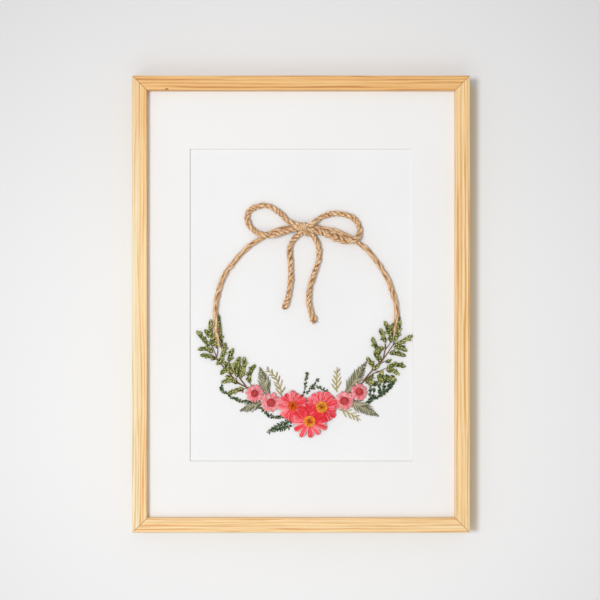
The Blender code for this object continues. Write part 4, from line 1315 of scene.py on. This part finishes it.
# Each sprig: how long its leaves are, how wide they are for that, and its twigs.
DARK_SPRIGS = {
    "dark_sprig_left_vine": (2.5, 0.72, [
        [(-74.8, -71.5), (-74.8, -80), (-67, -87.2), (-57.7, -91), (-43, -94.4),
         (-35.5, -101), (-26.3, -106.4), (-17, -106.6)],
    ]),
    "dark_sprig_low_left": (3.1, 0.42, [
        [(-3, -111.4), (-14.5, -111.2), (-23.4, -115.6), (-30.4, -120.6)],
        [(-7, -114.6), (-14.2, -117.2), (-23.8, -118.9)],
        [(-12, -111.4), (-18.4, -116), (-26, -118.4)],
    ]),
    "dark_sprig_top_left": (2.2, 0.7, [
        [(-0.2, -88), (3.4, -80.6), (4.6, -72.6), (5.5, -66.2)],
    ]),
    "dark_sprig_top_right": (2.3, 0.62, [
        [(4.6, -85.6), (9.6, -78), (15.6, -71.5)],
        [(8.4, -79.4), (15.6, -78.4), (23.4, -81.8)],
    ]),
    "dark_sprig_right_vine": (2.3, 0.8, [
        [(60, -94.4), (70.9, -88.3), (80.7, -81.6), (88.6, -71.6)],
        [(65.4, -91.6), (64.6, -84.4), (66.2, -77.6)],
        [(69.4, -89.2), (68, -82), (69.4, -75.8)],
        [(73.6, -86.4), (73.6, -78), (76.2, -68.4)],
        [(77.6, -84.2), (78.2, -76), (81.2, -67.4)],
        [(82.2, -80.2), (83, -74), (85.6, -68.2)],
        [(73.8, -80), (70.6, -74.2)],
    ]),
}


def make_dark_sprigs(leaf, twig):
    """Thin twigs with small leaves in pairs, and some that stand up from the twig."""
    chance = random.Random(47)
    for name, (leaf_length, leaf_width, routes) in DARK_SPRIGS.items():
        build = Build()
        for route in routes:
            path = card_path(route, SPRIG_LIFT, SPRIG_LEAF_PITCH)
            build.material = 1
            tube(build, path, [0.18] * len(path), 5, 0.9, 0.3)
            build.material = 0
            for i in range(1, len(path)):
                turn = heading(path[i - 1], path[i])
                for side in (1, -1, 0):
                    if chance.random() < (0.25 if side else 0.6):
                        continue
                    size = leaf_length * chance.uniform(0.6, 1.15)
                    spread = side * chance.uniform(0.6, 1.4) + chance.uniform(-0.2, 0.2)
                    blade(build, path[i], turn + spread, size, size * leaf_width,
                          OVAL_SHAPE, chance.uniform(0.0, 0.7), chance.random(), 0.3)
        build.make(name + "_leaves", "dark_green", [leaf, twig], name)


# ---------------- putting it together

def dress(paint, *nodes):
    """Gives kept CAD nodes this material."""
    for name in nodes:
        thing = NODES[name]
        thing.data.materials.clear()
        thing.data.materials.append(paint)


def plane(name, centre, size, turn, paint):
    bpy.ops.mesh.primitive_plane_add(size=1, location=centre, rotation=turn)
    thing = bpy.context.object
    thing.name = name
    thing.scale = (*size, 1)
    thing.data.materials.append(paint)
    return thing


make_camera()
make_lights()
jute_fibre = jute()
make_hoop(jute_fibre)
make_bow(jute_fibre)

wall = plane("wall", (0, HIGH.y + 0.0002, FLOOR_Z + 2), (8, 4), (math.pi / 2, 0, 0), plaster())
wall.visible_diffuse = False
wall.visible_glossy = False
wall.visible_transmission = False
wall.visible_shadow = False
plane("floor", (0, -1.0, FLOOR_Z), (8, 8), (0, 0, 0), floor_paint())

dress(pine("left", 6.4, 0.08, 0.45, 2.6, 1.7), "rail_left")
dress(pine("right", 0.6, 0.06, 0.1, 3.4, 4.1), "rail_right")
dress(pine("top", 0.4, 1.0, 0.0, 3.1, 7.3), "rail_top")
dress(pine("bottom", 0.8, 0.06, 0.0, 3.0, 9.9), "rail_bottom")
dress(mat_paper(), "mat_board")
dress(card_paper(), "wreath_card")
dress(hardboard(), "back_board")
dress(zinc(), "sawtooth_hanger", "hanger_nail_left", "hanger_nail_right",
      *[f"framers_point_{number}" for number in range(1, 9)])

make_daisies(
    coral_petal(), pink_petal(),
    [disc("orange_florets", rgb(150, 60, 16), rgb(244, 100, 36), rgb(248, 116, 48), 7.0),
     disc("yellow_florets", rgb(160, 70, 10), rgb(240, 150, 40), rgb(248, 182, 66), 11.0),
     disc("amber_florets", rgb(150, 80, 26), rgb(238, 118, 44), rgb(250, 172, 66), 13.0)],
    disc("rose_florets", rgb(226, 88, 86), rgb(228, 98, 98), rgb(206, 78, 84), 17.0),
)

grey_leaf = foliage(
    "grey_olive_leaf", rgb(112, 110, 84), rgb(166, 162, 132), rgb(204, 200, 170), rgb(100, 98, 74), 0.7,
)
chance = random.Random(3)
for number, (base, tip, width) in enumerate(SERRATED_LEAVES, 1):
    make_serrated_leaf(number, base, tip, width, grey_leaf, chance)
olive_fern = foliage(
    "yellow_olive_fern", rgb(158, 142, 82), rgb(190, 174, 112), rgb(216, 204, 144),
    rgb(170, 154, 104),
)
for number, route in enumerate(COMB_FERNS, 1):
    make_comb_fern(number, route, olive_fern, chance)
twig_bark = bark()
make_sprays(
    foliage("spray_leaf", rgb(22, 30, 2), rgb(88, 106, 38), rgb(216, 214, 146),
            rgb(190, 194, 114), 0.3, 0.95),
    twig_bark,
)
make_dark_sprigs(
    foliage("dark_sprig_leaf", rgb(30, 50, 30), rgb(60, 86, 54), rgb(126, 146, 98), rgb(52, 80, 68)),
    twig_bark,
)
